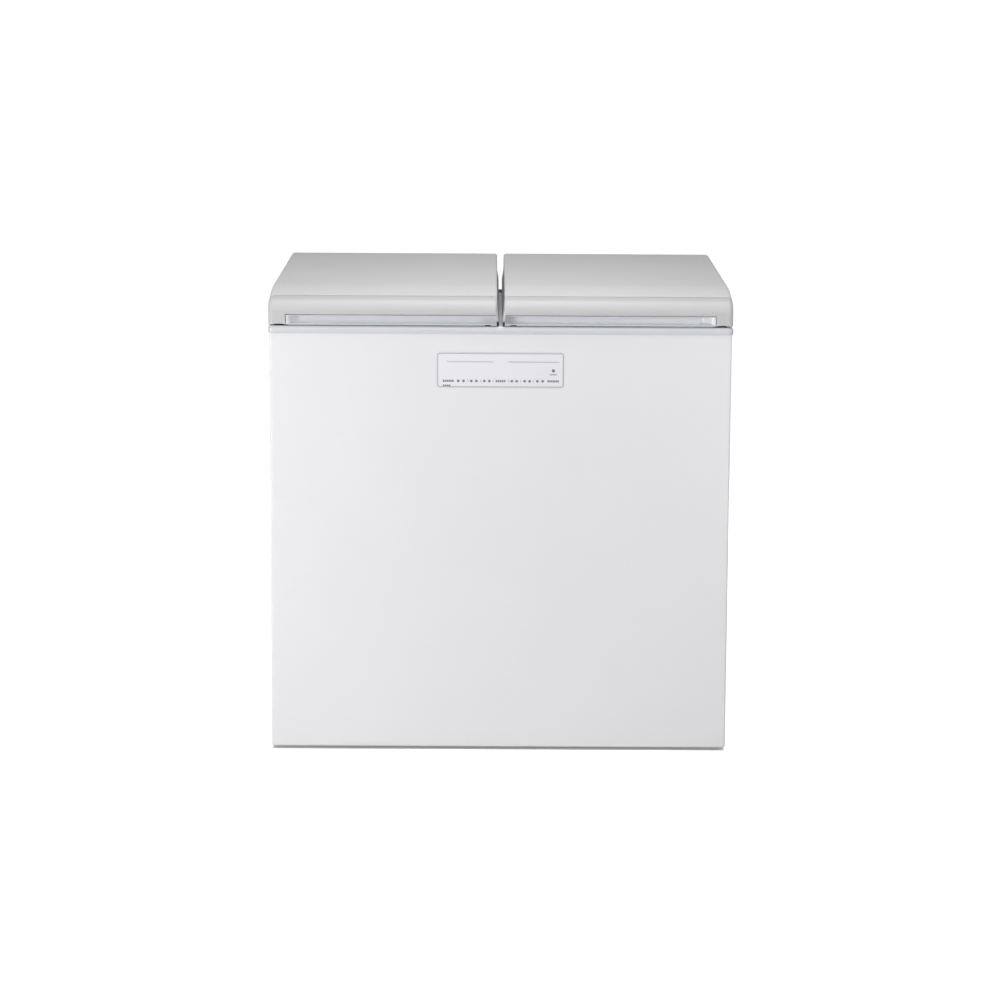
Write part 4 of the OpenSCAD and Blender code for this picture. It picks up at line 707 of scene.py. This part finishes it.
# %% The dust lip, in four lengths
LIP_RUNS = [(9.5, 16.5), (33.5, 412.0)]
LIP = [(LID_FRONT + 0.6, 848.0), (LID_FRONT + 0.9, 849.2), (LID_FRONT + 1.5, 849.6),
       (LID_FRONT + 4.5, 849.3), (LID_FRONT + 6, 848.0)]
lip_mesh = bpy.data.meshes.new("dust_lip")
work = bmesh.new()
for sign in (-1, 1):
    for x0, x1 in LIP_RUNS:
        ends = [[work.verts.new((mm(sign * x), mm(y), mm(z))) for y, z in LIP] for x in (x0, x1)]
        for k in range(len(LIP)):
            after = (k + 1) % len(LIP)
            work.faces.new((ends[0][k], ends[0][after], ends[1][after], ends[1][k]))
        for end in ends:
            work.faces.new(end)
work.to_mesh(lip_mesh)
work.free()
settle(lip_mesh, gasket_pvc)
dust_lip = show("dust_lip", lip_mesh)
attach(dust_lip, "cabinet")
tell(dust_lip)

# %% [markdown]
# ## The magnetic gasket
# A lid gasket is an extrusion: a bag that holds a magnet strip, a bellows above it, and a
# head that sits in the liner's groove. It is cut in lengths and welded at the corners. The
# section is drawn once, and a tree carries it round the mouth of the compartment.

# %% The gasket's tree
GASKET = [(-4.6, 0), (4.6, 0), (5.2, 0.6), (5.4, 2.2), (5.2, 4.2), (4.4, 4.8), (3.2, 5.1),
          (4.7, 6.2), (3.2, 7.3), (5.6, 7.8), (6.0, 8.6), (6.0, 10.0), (-6.0, 10.0),
          (-6.0, 8.6), (-5.6, 7.8), (-3.2, 7.3), (-4.7, 6.2), (-3.2, 5.1), (-4.4, 4.8),
          (-5.2, 4.2), (-5.4, 2.2), (-5.2, 0.6)]
GASKET_X, GASKET_Y, GASKET_Z = 207.5, -7.0, 848.3
GASKET_W, GASKET_D, GASKET_R = 369.0, 594.0, 42.0


def ring_points(cx, cy, w, d, r, z, steps=8):
    """Points round a rounded rectangle, in millimetres."""
    points = []
    for k, (sx, sy) in enumerate([(1, 1), (-1, 1), (-1, -1), (1, -1)]):
        for i in range(steps + 1):
            a = pi / 2 * (k + i / steps)
            points.append((cx + sx * (w / 2 - r) + r * cos(a),
                           cy + sy * (d / 2 - r) + r * sin(a), z))
    return points


def gasket_rule(mat):
    """Section round a level path: across is outwards, up is up."""
    made, start = new_tree("gasket", {"Widen": 1.0})
    mesh, place, way, across, up = carry(made, start)
    out = add(made, VECTOR_MATH, {0: way, 1: (0.0, 0.0, 1.0)}, operation="CROSS_PRODUCT")
    wide = add(made, MATH, {0: across, 1: start["Widen"]}, operation="MULTIPLY")
    beside = add(made, VECTOR_MATH, {0: out, "Scale": wide}, operation="SCALE")
    above = add(made, COMBINE, {2: up})
    one = add(made, VECTOR_MATH, {0: place, 1: beside}, operation="ADD")
    two = add(made, VECTOR_MATH, {0: one, 1: above}, operation="ADD")
    placed = add(made, "GeometryNodeSetPosition", {"Geometry": mesh, "Position": two})
    return close_tree(made, placed, mat)


gasket_tree = gasket_rule(gasket_pvc)
section = line_of("gasket section", [(x, z, 0) for x, z in GASKET], cyclic=True)
for side, sign in SIDES.items():
    ring = ring_points(sign * GASKET_X, GASKET_Y, GASKET_W, GASKET_D, GASKET_R, GASKET_Z)
    path = line_of("gasket path", ring, cyclic=True)
    made = grow(f"lid_gasket_bellows_{side}", path, gasket_tree, gasket_pvc, Section=section)
    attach(made, f"lid_{side}")
    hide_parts(f"lid_gasket_{side}")
    tell(made)
bpy.data.objects.remove(section)

# %% [markdown]
# ## Reading places off the CAD
# Screws and springs stand where the CAD put them. The CAD node is one mesh with a solid for
# each, so its separate solids are found, and each one's box says where it is and which way
# it points. Nothing is measured twice, and a change in the CAD is followed by itself.

# %% The separate solids of a CAD part
def solids_of(name):
    """The lowest and highest corner of each separate solid of a CAD part."""
    work = bmesh.new()
    work.from_mesh(CAD[name].data)
    bmesh.ops.remove_doubles(work, verts=work.verts, dist=mm(0.005))
    left, found = set(work.verts), []
    while left:
        reached, edge = set(), [left.pop()]
        while edge:
            vert = edge.pop()
            reached.add(vert)
            for link in vert.link_edges:
                other = link.other_vert(vert)
                if other in left:
                    left.discard(other)
                    edge.append(other)
        low = Vector([min(v.co[i] for v in reached) for i in range(3)])
        high = Vector([max(v.co[i] for v in reached) for i in range(3)])
        found.append((low, high))
    work.free()
    return sorted(found, key=lambda c: tuple(round(v, 5) for v in c[0]))


screw_boxes = solids_of("screws")
spring_boxes = solids_of("hinge_springs")
print("screws:", len(screw_boxes), "springs:", len(spring_boxes))

# %% [markdown]
# ## Rubber bumpers and the channel's stop
# The rubber pads and posts get rounded edges, as moulded rubber has. The stop at the back of
# the drain channel is a softer grey rubber, with the water's way cut through under it.

# %% Rounded rubber, from the boxes of the CAD solids
def rubber(name, boxes, mat, radius=0.5, drain=None):
    """One piece with a rounded block for each box, and a notch under it if a size is given."""
    mesh = bpy.data.meshes.new(name)
    work = bmesh.new()
    for low, high in boxes:
        half, middle = (high - low) / 2, (high + low) / 2
        outline = [(-half.x, -half.z), (half.x, -half.z), (half.x, half.z), (-half.x, half.z)]
        if drain:
            w, h = mm(drain[0]), mm(drain[1]) - half.z
            outline[1:1] = [(-w, -half.z), (-w, h), (w, h), (w, -half.z)]
        front, back = [[work.verts.new((middle.x + x, middle.y + y, middle.z + z))
                        for x, z in outline] for y in (-half.y, half.y)]
        walls = [work.faces.new((front[k], front[k - 1], back[k - 1], back[k]))
                 for k in range(len(outline))]
        caps = [work.faces.new(front), work.faces.new(back)]
        edges = {e for f in walls + caps for e in f.edges}
        bmesh.ops.bevel(work, geom=list(edges), offset=mm(radius), segments=3,
                        affect="EDGES", profile=0.5)
    work.to_mesh(mesh)
    work.free()
    settle(mesh, mat, 40)
    made = show(name, mesh)
    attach(made, "cabinet")
    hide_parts("lid_bumpers")
    tell(made)


bumper_boxes = solids_of("lid_bumpers")
rubber("corner_bumpers", [b for b in bumper_boxes if b[1].y < 0], black_rubber)
rubber("channel_stop", [b for b in bumper_boxes if b[1].y > 0], gasket_pvc,
       drain=(4.0, 2.2))

# %% [markdown]
# ## Screws
# Pan-head screws with a cross recess hold the rear sheets, and flat ones hold the hinge
# feet. The recess is cut once, with a boolean, in one screw. A tree puts that screw on each
# point and turns it to face outwards.

# %% The screws' tree
TRANSFORM, INSTANCE = "GeometryNodeTransform", "GeometryNodeInstanceOnPoints"
RECESS = (4.4, 0.9, 2.2)


def screw_rule(mat):
    """A cross-recessed screw on every point, its head's top at the point, facing up."""
    made, start = new_tree("screws", {
        "Head radius": mm(4), "Head height": mm(1.7), "Shank radius": mm(2),
        "Length": mm(9), "Tilt": 0.0})
    radius, height, length = start["Head radius"], start["Head height"], start["Length"]
    ball = add(made, "GeometryNodeMeshUVSphere", {
        "Segments": 24, "Rings": 12, "Radius": radius})
    flat = add(made, MATH, {0: height, 1: radius}, operation="DIVIDE")
    squash = add(made, COMBINE, {0: 1.0, 1: 1.0, 2: flat})
    sink = add(made, MATH, {0: height, 1: -1.0}, operation="MULTIPLY")
    low = add(made, COMBINE, {2: sink})
    head = add(made, TRANSFORM, {"Geometry": ball, "Translation": low, "Scale": squash})
    wide = add(made, MATH, {0: radius, 1: 3.0}, operation="MULTIPLY")
    box = add(made, COMBINE, {0: wide, 1: wide, 2: wide})
    below = add(made, "GeometryNodeMeshCube", {"Size": box})
    drop = add(made, MATH, {0: sink, 1: radius}, operation="SUBTRACT")
    half = add(made, MATH, {0: radius, 1: -0.5, 2: drop}, operation="MULTIPLY_ADD")
    under = add(made, COMBINE, {2: half})
    lower = add(made, TRANSFORM, {"Geometry": below, "Translation": under})
    long, thin, deep = [mm(v) for v in RECESS]
    arms = [add(made, "GeometryNodeMeshCube", {"Size": size})
            for size in ((long, thin, deep), (thin, long, deep))]
    cut = add(made, "GeometryNodeMeshBoolean", {"Mesh 1": head},
              operation="DIFFERENCE", solver="EXACT")
    for tool in [lower, *arms]:
        made.links.new(tool.outputs[0], cut.inputs["Mesh 2"])
    shank = add(made, "GeometryNodeMeshCylinder", {
        "Vertices": 16, "Radius": start["Shank radius"], "Depth": length})
    middle = add(made, MATH, {0: length, 1: -0.5, 2: sink}, operation="MULTIPLY_ADD")
    inside = add(made, COMBINE, {2: middle})
    sunk = add(made, TRANSFORM, {"Geometry": shank, "Translation": inside})
    both = add(made, "GeometryNodeJoinGeometry")
    for solid in (cut, sunk):
        made.links.new(solid.outputs[0], both.inputs[0])
    lean = add(made, COMBINE, {0: start["Tilt"]})
    copies = add(made, INSTANCE, {
        "Points": start["Start"], "Instance": both, "Rotation": lean})
    return close_tree(made, copies, mat)


# %% The screws in place
screw_tree = screw_rule(zinc_plate)
rear = [(low, high) for low, high in screw_boxes if high.y - low.y > high.z - low.z]
level = [(low, high) for low, high in screw_boxes if high.y - low.y <= high.z - low.z]
rear_tops = [((a.x + b.x) / 2, b.y, (a.z + b.z) / 2) for a, b in rear]
level_tops = [((a.x + b.x) / 2, (a.y + b.y) / 2, b.z) for a, b in level]
rear_screws = grow("rear_screws", dots_of("rear", rear_tops), screw_tree, zinc_plate,
                   Tilt=radians(-90))
hinge_screws = grow("hinge_screws", dots_of("hinge", level_tops), screw_tree, zinc_plate,
                    **{"Length": mm(7), "Head height": mm(1.5)})
for made in (rear_screws, hinge_screws):
    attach(made, "cabinet")
    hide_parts("screws")
    tell(made)

# %% [markdown]
# ## Hinge springs
# Each lid hinge has two springs wound round its pin. They are wound from 2 mm music wire.
# A spiral with the wire's round section makes one, and a tree puts it on each place.

# %% The springs' tree
def spring_rule(mat, turns=3.0):
    """A coil along X on every point, centred on the point."""
    made, start = new_tree("springs", {"Wire": mm(1), "Mean radius": mm(5.3), "Length": mm(6)})
    radius, length = start["Mean radius"], start["Length"]
    coil = add(made, "GeometryNodeCurveSpiral", {
        "Resolution": 28, "Rotations": turns, "Start Radius": radius, "End Radius": radius,
        "Height": length})
    wire = add(made, "GeometryNodeCurvePrimitiveCircle", {
        "Resolution": 10, "Radius": start["Wire"]})
    body = add(made, "GeometryNodeCurveToMesh", {
        "Curve": coil, "Profile Curve": wire, "Fill Caps": True})
    back = add(made, MATH, {0: length, 1: -0.5}, operation="MULTIPLY")
    down = add(made, COMBINE, {2: back})
    centred = add(made, TRANSFORM, {"Geometry": body, "Translation": down})
    copies = add(made, INSTANCE, {
        "Points": start["Start"], "Instance": centred, "Rotation": (0.0, pi / 2, 0.0)})
    return close_tree(made, copies, mat)


spring_places = [(a + b) / 2 for a, b in spring_boxes]
spring_places = [(p.x, mm(HINGE_Y), mm(HINGE_Z)) for p in spring_places]
coil_length = spring_boxes[0][1].x - spring_boxes[0][0].x - mm(2)
springs = grow("hinge_spring_coils", dots_of("springs", spring_places),
               spring_rule(zinc_plate), zinc_plate, Length=coil_length)
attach(springs, "cabinet")
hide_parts("hinge_springs")
print(springs.name, len(springs.data.polygons), "faces, coil", round(coil_length * 1000, 2))

# %% [markdown]
# ## The front sheet
# The front is one sheet, drawn over a tool: its upright edges and its lower edge turn back
# over a 4 mm radius, and the two lower corners are rounded. Rings of equal numbers of
# points run from the returns, over the radius, to the window's opening.

# %% The front sheet
FRONT = {"w": 900.0, "low": 6.0, "top": 833.0, "face": -362.0, "back": -350.2, "edge": 4.0,
         "corner": 7.0}
WINDOW = {"w": 248.0, "h": 69.0, "r": 6.0, "z": 762.5, "front": -362.4, "back": -360.0}


def front_ring(inset, y, steps=8):
    """The sheet's outline inset by a distance, with its top edge left where it is."""
    points = []
    for k, (sx, r) in enumerate([(1, 0.4), (-1, 0.4), (-1, 1), (1, 1)]):
        r = r if k < 2 else max(FRONT["corner"] - inset, 0.5)
        z = FRONT["top"] - r if k < 2 else FRONT["low"] + inset + r
        for i in range(steps + 1):
            a = pi / 2 * (k + i / steps)
            points.append((sx * (FRONT["w"] / 2 - inset - r) + r * cos(a), y,
                           z + r * sin(a)))
    return points


def window_ring(wider, y, steps=8):
    """The window's outline, wider all round by a distance, at one depth."""
    ring = ring_points(0, 0, WINDOW["w"] + 2 * wider, WINDOW["h"] + 2 * wider,
                       WINDOW["r"] + wider, 0, steps)
    return [(x, y, WINDOW["z"] + z) for x, z, _ in ring]


front_rows = [front_ring(0, FRONT["back"])]
front_rows += [front_ring(FRONT["edge"] * rise, FRONT["face"] + FRONT["edge"] * fall)
               for rise, fall in rounding()]
front_rows += [front_ring(FRONT["edge"] + 0.6, FRONT["face"]), window_ring(1.3, FRONT["face"]),
               window_ring(0.8, FRONT["face"]), window_ring(0.3, FRONT["face"] + 0.2),
               window_ring(0.2, FRONT["face"] + 0.8)]
front_sheet = loft("front_sheet", front_rows, white_coat, ends=False, angle=30)
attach(front_sheet, "cabinet")
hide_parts("front_panel")
tell(front_sheet)

# %% [markdown]
# ## The control window
# The touch window is a hard-coated clear sheet, printed from behind in a pale tone, with a
# rounded edge that stands a little proud of the steel. The marks are print under the
# surface: a grey line round the edge, two long lines, and a row of marks below them. They
# are plain blocks, dots and ticks, since the part carries no words. They are drawn as very
# thin pads, because a print that is only paint would be lost in the mesh.

# %% The pane
PANE_FRONT, PANE_STEPS = WINDOW["front"], 6
pane_rows = [window_ring(wider, y, PANE_STEPS) for wider, y in
             ((-0.8, PANE_FRONT), (-0.35, PANE_FRONT + 0.07), (-0.08, PANE_FRONT + 0.25),
              (0, PANE_FRONT + 0.6), (0, WINDOW["back"]))]
pane = loft("control_pane", pane_rows, window_pc, angle=50)
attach(pane, "cabinet")
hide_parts("control_window")
tell(pane)

# %% [markdown]
# ## The marks on the window
# Each mark is a pad of its own width and height. They all come from one tree: it puts a
# small rounded pad on each point and stretches it by the size that the point carries.

# %% The marks' places: distance from the middle, height from the middle, width, height
def row_of(x, z, width, height, count):
    """A bar split into short blocks of equal width, with a small gap between them."""
    pitch = width / count
    return [(x - width / 2 + pitch * (i + 0.5), z, pitch * 0.78, height) for i in range(count)]


LINES = [(-58.8, 16.3, 91.0, 1.6), (65.0, 16.3, 100.0, 1.6)]
BARS = (row_of(-101.7, -21.4, 22.0, 4.4, 6) + row_of(0.3, -21.4, 20.0, 4.4, 5)
        + row_of(102.7, -21.4, 23.0, 4.2, 7) + row_of(-104.8, -30.2, 15.6, 3.2, 4)
        + [(103.0, -8.5, 13.9, 1.6)])
TICKS = [(x, -21.4, 0.8, 5.0) for x in (-63.0, -38.2, -14.4, 15.6, 39.6, 64.6)]
DOTS = [(x, -21.4, 5.2, 5.2) for x in (-82.3, -71.8, -56.7, -46.8, -31.5, -21.7,
                                       22.3, 31.7, 47.2, 56.9, 72.0, 82.3)]
DOTS.append((103.1, -0.8, 6.4, 6.4))


# %% The marks' tree
def mark_rule(mat):
    """A rounded pad on every point, stretched by the point's own size."""
    made, start = new_tree("marks", {"Corner": 0.2, "Thickness": mm(0.06)})
    plan = add(made, "GeometryNodeCurvePrimitiveQuadrilateral", {"Width": 1.0, "Height": 1.0})
    soft = add(made, "GeometryNodeFilletCurve", {
        "Curve": plan, "Radius": start["Corner"], "Count": 4}, mode="POLY")
    face = add(made, "GeometryNodeFillCurve", {"Curve": soft}, mode="NGONS")
    thick = add(made, "GeometryNodeExtrudeMesh", {
        "Mesh": face, "Offset Scale": start["Thickness"]}, mode="FACES")
    back = add(made, "GeometryNodeFlipFaces", {"Mesh": face})
    both = add(made, "GeometryNodeJoinGeometry")
    for half in (thick, back):
        made.links.new(half.outputs[0], both.inputs[0])
    size = add(made, "GeometryNodeInputNamedAttribute", {"Name": "size"},
               data_type="FLOAT_VECTOR")
    copies = add(made, INSTANCE, {
        "Points": start["Start"], "Instance": both, "Rotation": (pi / 2, 0.0, 0.0),
        "Scale": size})
    return close_tree(made, copies, mat)


def marks(name, places, mat, corner):
    """One set of marks, as one piece on the pane."""
    dots = dots_of(name, [(mm(x), mm(PANE_FRONT), mm(WINDOW["z"] + z))
                          for x, z, _, _ in places])
    size = dots.data.attributes.new("size", "FLOAT_VECTOR", "POINT")
    size.data.foreach_set("vector", [v for _, _, w, h in places for v in (mm(w), mm(h), 1.0)])
    made = grow(name, dots, mark_rule(mat), mat, Corner=corner)
    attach(made, "cabinet")
    tell(made)


border = [window_ring(-inset, PANE_FRONT + y, PANE_STEPS) for inset, y in
          ((0.85, 0.02), (0.9, -0.05), (2.7, -0.05), (2.75, 0.02))]
grey_print = finish("screen_printed_grey_ink", "B4B4BA", 0.35, 6.0, 0.002, mottle=0.02)
dark_print = finish("screen_printed_dark_ink", "7E7F86", 0.35, 6.0, 0.002, mottle=0.02)
marks("window_lines", LINES, grey_print, 0.1)
window_border = loft("window_border", border + border[:1], grey_print, ends=False, angle=50)
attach(window_border, "cabinet")
marks("window_bars", BARS + TICKS, dark_print, 0.15)
marks("window_dots", DOTS, dark_print, 0.48)

# %% [markdown]
# ## Studio
# The photograph was taken from well above the lids, from about five metres away, with the
# camera turned slightly. A long lens keeps the upright edges nearly parallel. Six soft lamps
# do the rest. A high one lights the level faces and reaches down into the slit. A small one
# over the lids' front edge makes them brighter in front than at the back. Two from the left
# give the front its fall from left to right, a near one lifts its right upper corner, and
# a broad one behind keeps the back readable.

# %% Camera
def aimed(where, pitch, yaw, roll):
    """A camera's place and turn: looking along +Y, tilted down by pitch, in degrees."""
    turn = (Matrix.Rotation(radians(-yaw), 4, "Z")
            @ Matrix.Rotation(radians(90 - pitch), 4, "X")
            @ Matrix.Rotation(radians(roll), 4, "Z"))
    return Matrix.Translation([mm(v) for v in where]) @ turn


lens = bpy.data.cameras.new("photograph")
lens.lens, lens.sensor_width, lens.shift_y = 109.37, 36.0, -0.1
camera = show("photograph", lens)
camera.matrix_world = aimed((-15.0, -6214.5, 1630.0), 8.993, 0.141, 0.323)
bpy.context.scene.camera = camera
print("camera at", [round(v, 3) for v in camera.location])


# %% Lamps
def lamp(name, where, look_at, size, power):
    """A large soft lamp."""
    light = bpy.data.lights.new(name, "AREA")
    light.shape, light.size, light.size_y, light.energy = "RECTANGLE", size[0], size[1], power
    holder = show(name, light)
    holder.location = where
    aim = Vector(look_at) - Vector(where)
    holder.rotation_euler = aim.to_track_quat("-Z", "Y").to_euler()


lamp("high above", (0.0, -0.2, 4.2), (0, 0, 0.9), (0.8, 0.8), 32)
lamp("over the lids", (0.0, -0.55, 2.0), (0, -0.45, 0.9), (0.5, 0.5), 6.1)
lamp("low left", (-1.9, -2.1, 0.5), (0, -0.36, 0.5), (0.9, 0.8), 25.5)
lamp("high left", (-1.7, -1.9, 1.6), (-0.2, -0.36, 0.7), (0.9, 0.8), 14.5)
lamp("near right", (1.3, -1.35, 1.05), (0.25, -0.36, 0.7), (0.6, 0.5), 7.8)
lamp("behind", (0.0, 2.6, 0.5), (0, 0.3, 0.45), (2.4, 0.7), 20)

# %% [markdown]
# ## Floor and background
# The ground of the photograph is pure white. The floor is a pale diffuse sheet that keeps
# the object's shadow, with just enough white added for the camera alone. Less of it is added
# right under the part. This is a painted shade in the shape of its footprint that keeps the gap
# to the floor dark. The world does the same: it lights the object at a plain level, and it is
# white to the camera and in glass.

# %% Floor and world
def seen_only(tree):
    """1 for rays that come from the camera or through something clear, else 0."""
    path = add(tree, "ShaderNodeLightPath")
    return add(tree, MATH, {0: path.outputs["Is Camera Ray"],
                            1: path.outputs["Is Transmission Ray"]}, operation="MAXIMUM")


# The rectangle under the part, with a soft edge, gets less white: a painted shade under the
# cabinet.
PAINTED_SHADE_HALF, PAINTED_SHADE_FADE = (446, 357), 6
ground = bpy.data.materials.new("pale_studio_floor")
tree = emptied(ground)
matt = add(tree, "ShaderNodeBsdfDiffuse", {"Color": colour("D8D8D8")})
spot = add(tree, "ShaderNodeSeparateXYZ", {
    0: add(tree, "ShaderNodeTexCoord").outputs["Object"]})
sides = [add(tree, MATH, {0: spot.outputs[axis]}, operation="ABSOLUTE") for axis in (0, 1)]
edges = [add(tree, MAP_RANGE, {
    "Value": side, "From Min": mm(near), "From Max": mm(near + PAINTED_SHADE_FADE)})
    for side, near in zip(sides, PAINTED_SHADE_HALF)]
clear = add(tree, MATH, {0: edges[0], 1: edges[1]}, operation="MAXIMUM")
glow_level = add(tree, MAP_RANGE, {"Value": clear, "To Min": 0.2, "To Max": 0.9})
white = add(tree, MATH, {0: seen_only(tree), 1: glow_level}, operation="MULTIPLY")
glow = add(tree, "ShaderNodeEmission", {"Color": (1, 1, 1, 1), "Strength": white})
both = add(tree, "ShaderNodeAddShader", {0: matt, 1: glow})
add(tree, "ShaderNodeOutputMaterial", {"Surface": both})
sheet = bpy.data.meshes.new("studio_floor")
FLOOR_HALF = 60.0
corners = [(x * FLOOR_HALF, y * FLOOR_HALF, 0) for x, y in ((-1, -1), (1, -1), (1, 1), (-1, 1))]
sheet.from_pydata(corners, [], [(0, 1, 2, 3)])
sheet.materials.append(ground)
floor = show("studio_floor", sheet)

world = bpy.data.worlds.new("studio")
tree = emptied(world)
level = add(tree, MAP_RANGE, {"Value": seen_only(tree), "To Min": 0.2, "To Max": 1.0})
sky = add(tree, "ShaderNodeBackground", {"Color": (1, 1, 1, 1), "Strength": level})
add(tree, "ShaderNodeOutputWorld", {"Surface": sky})
bpy.context.scene.world = world
bpy.context.scene.view_settings.view_transform = "Standard"
print("stage:", floor.name, world.name)
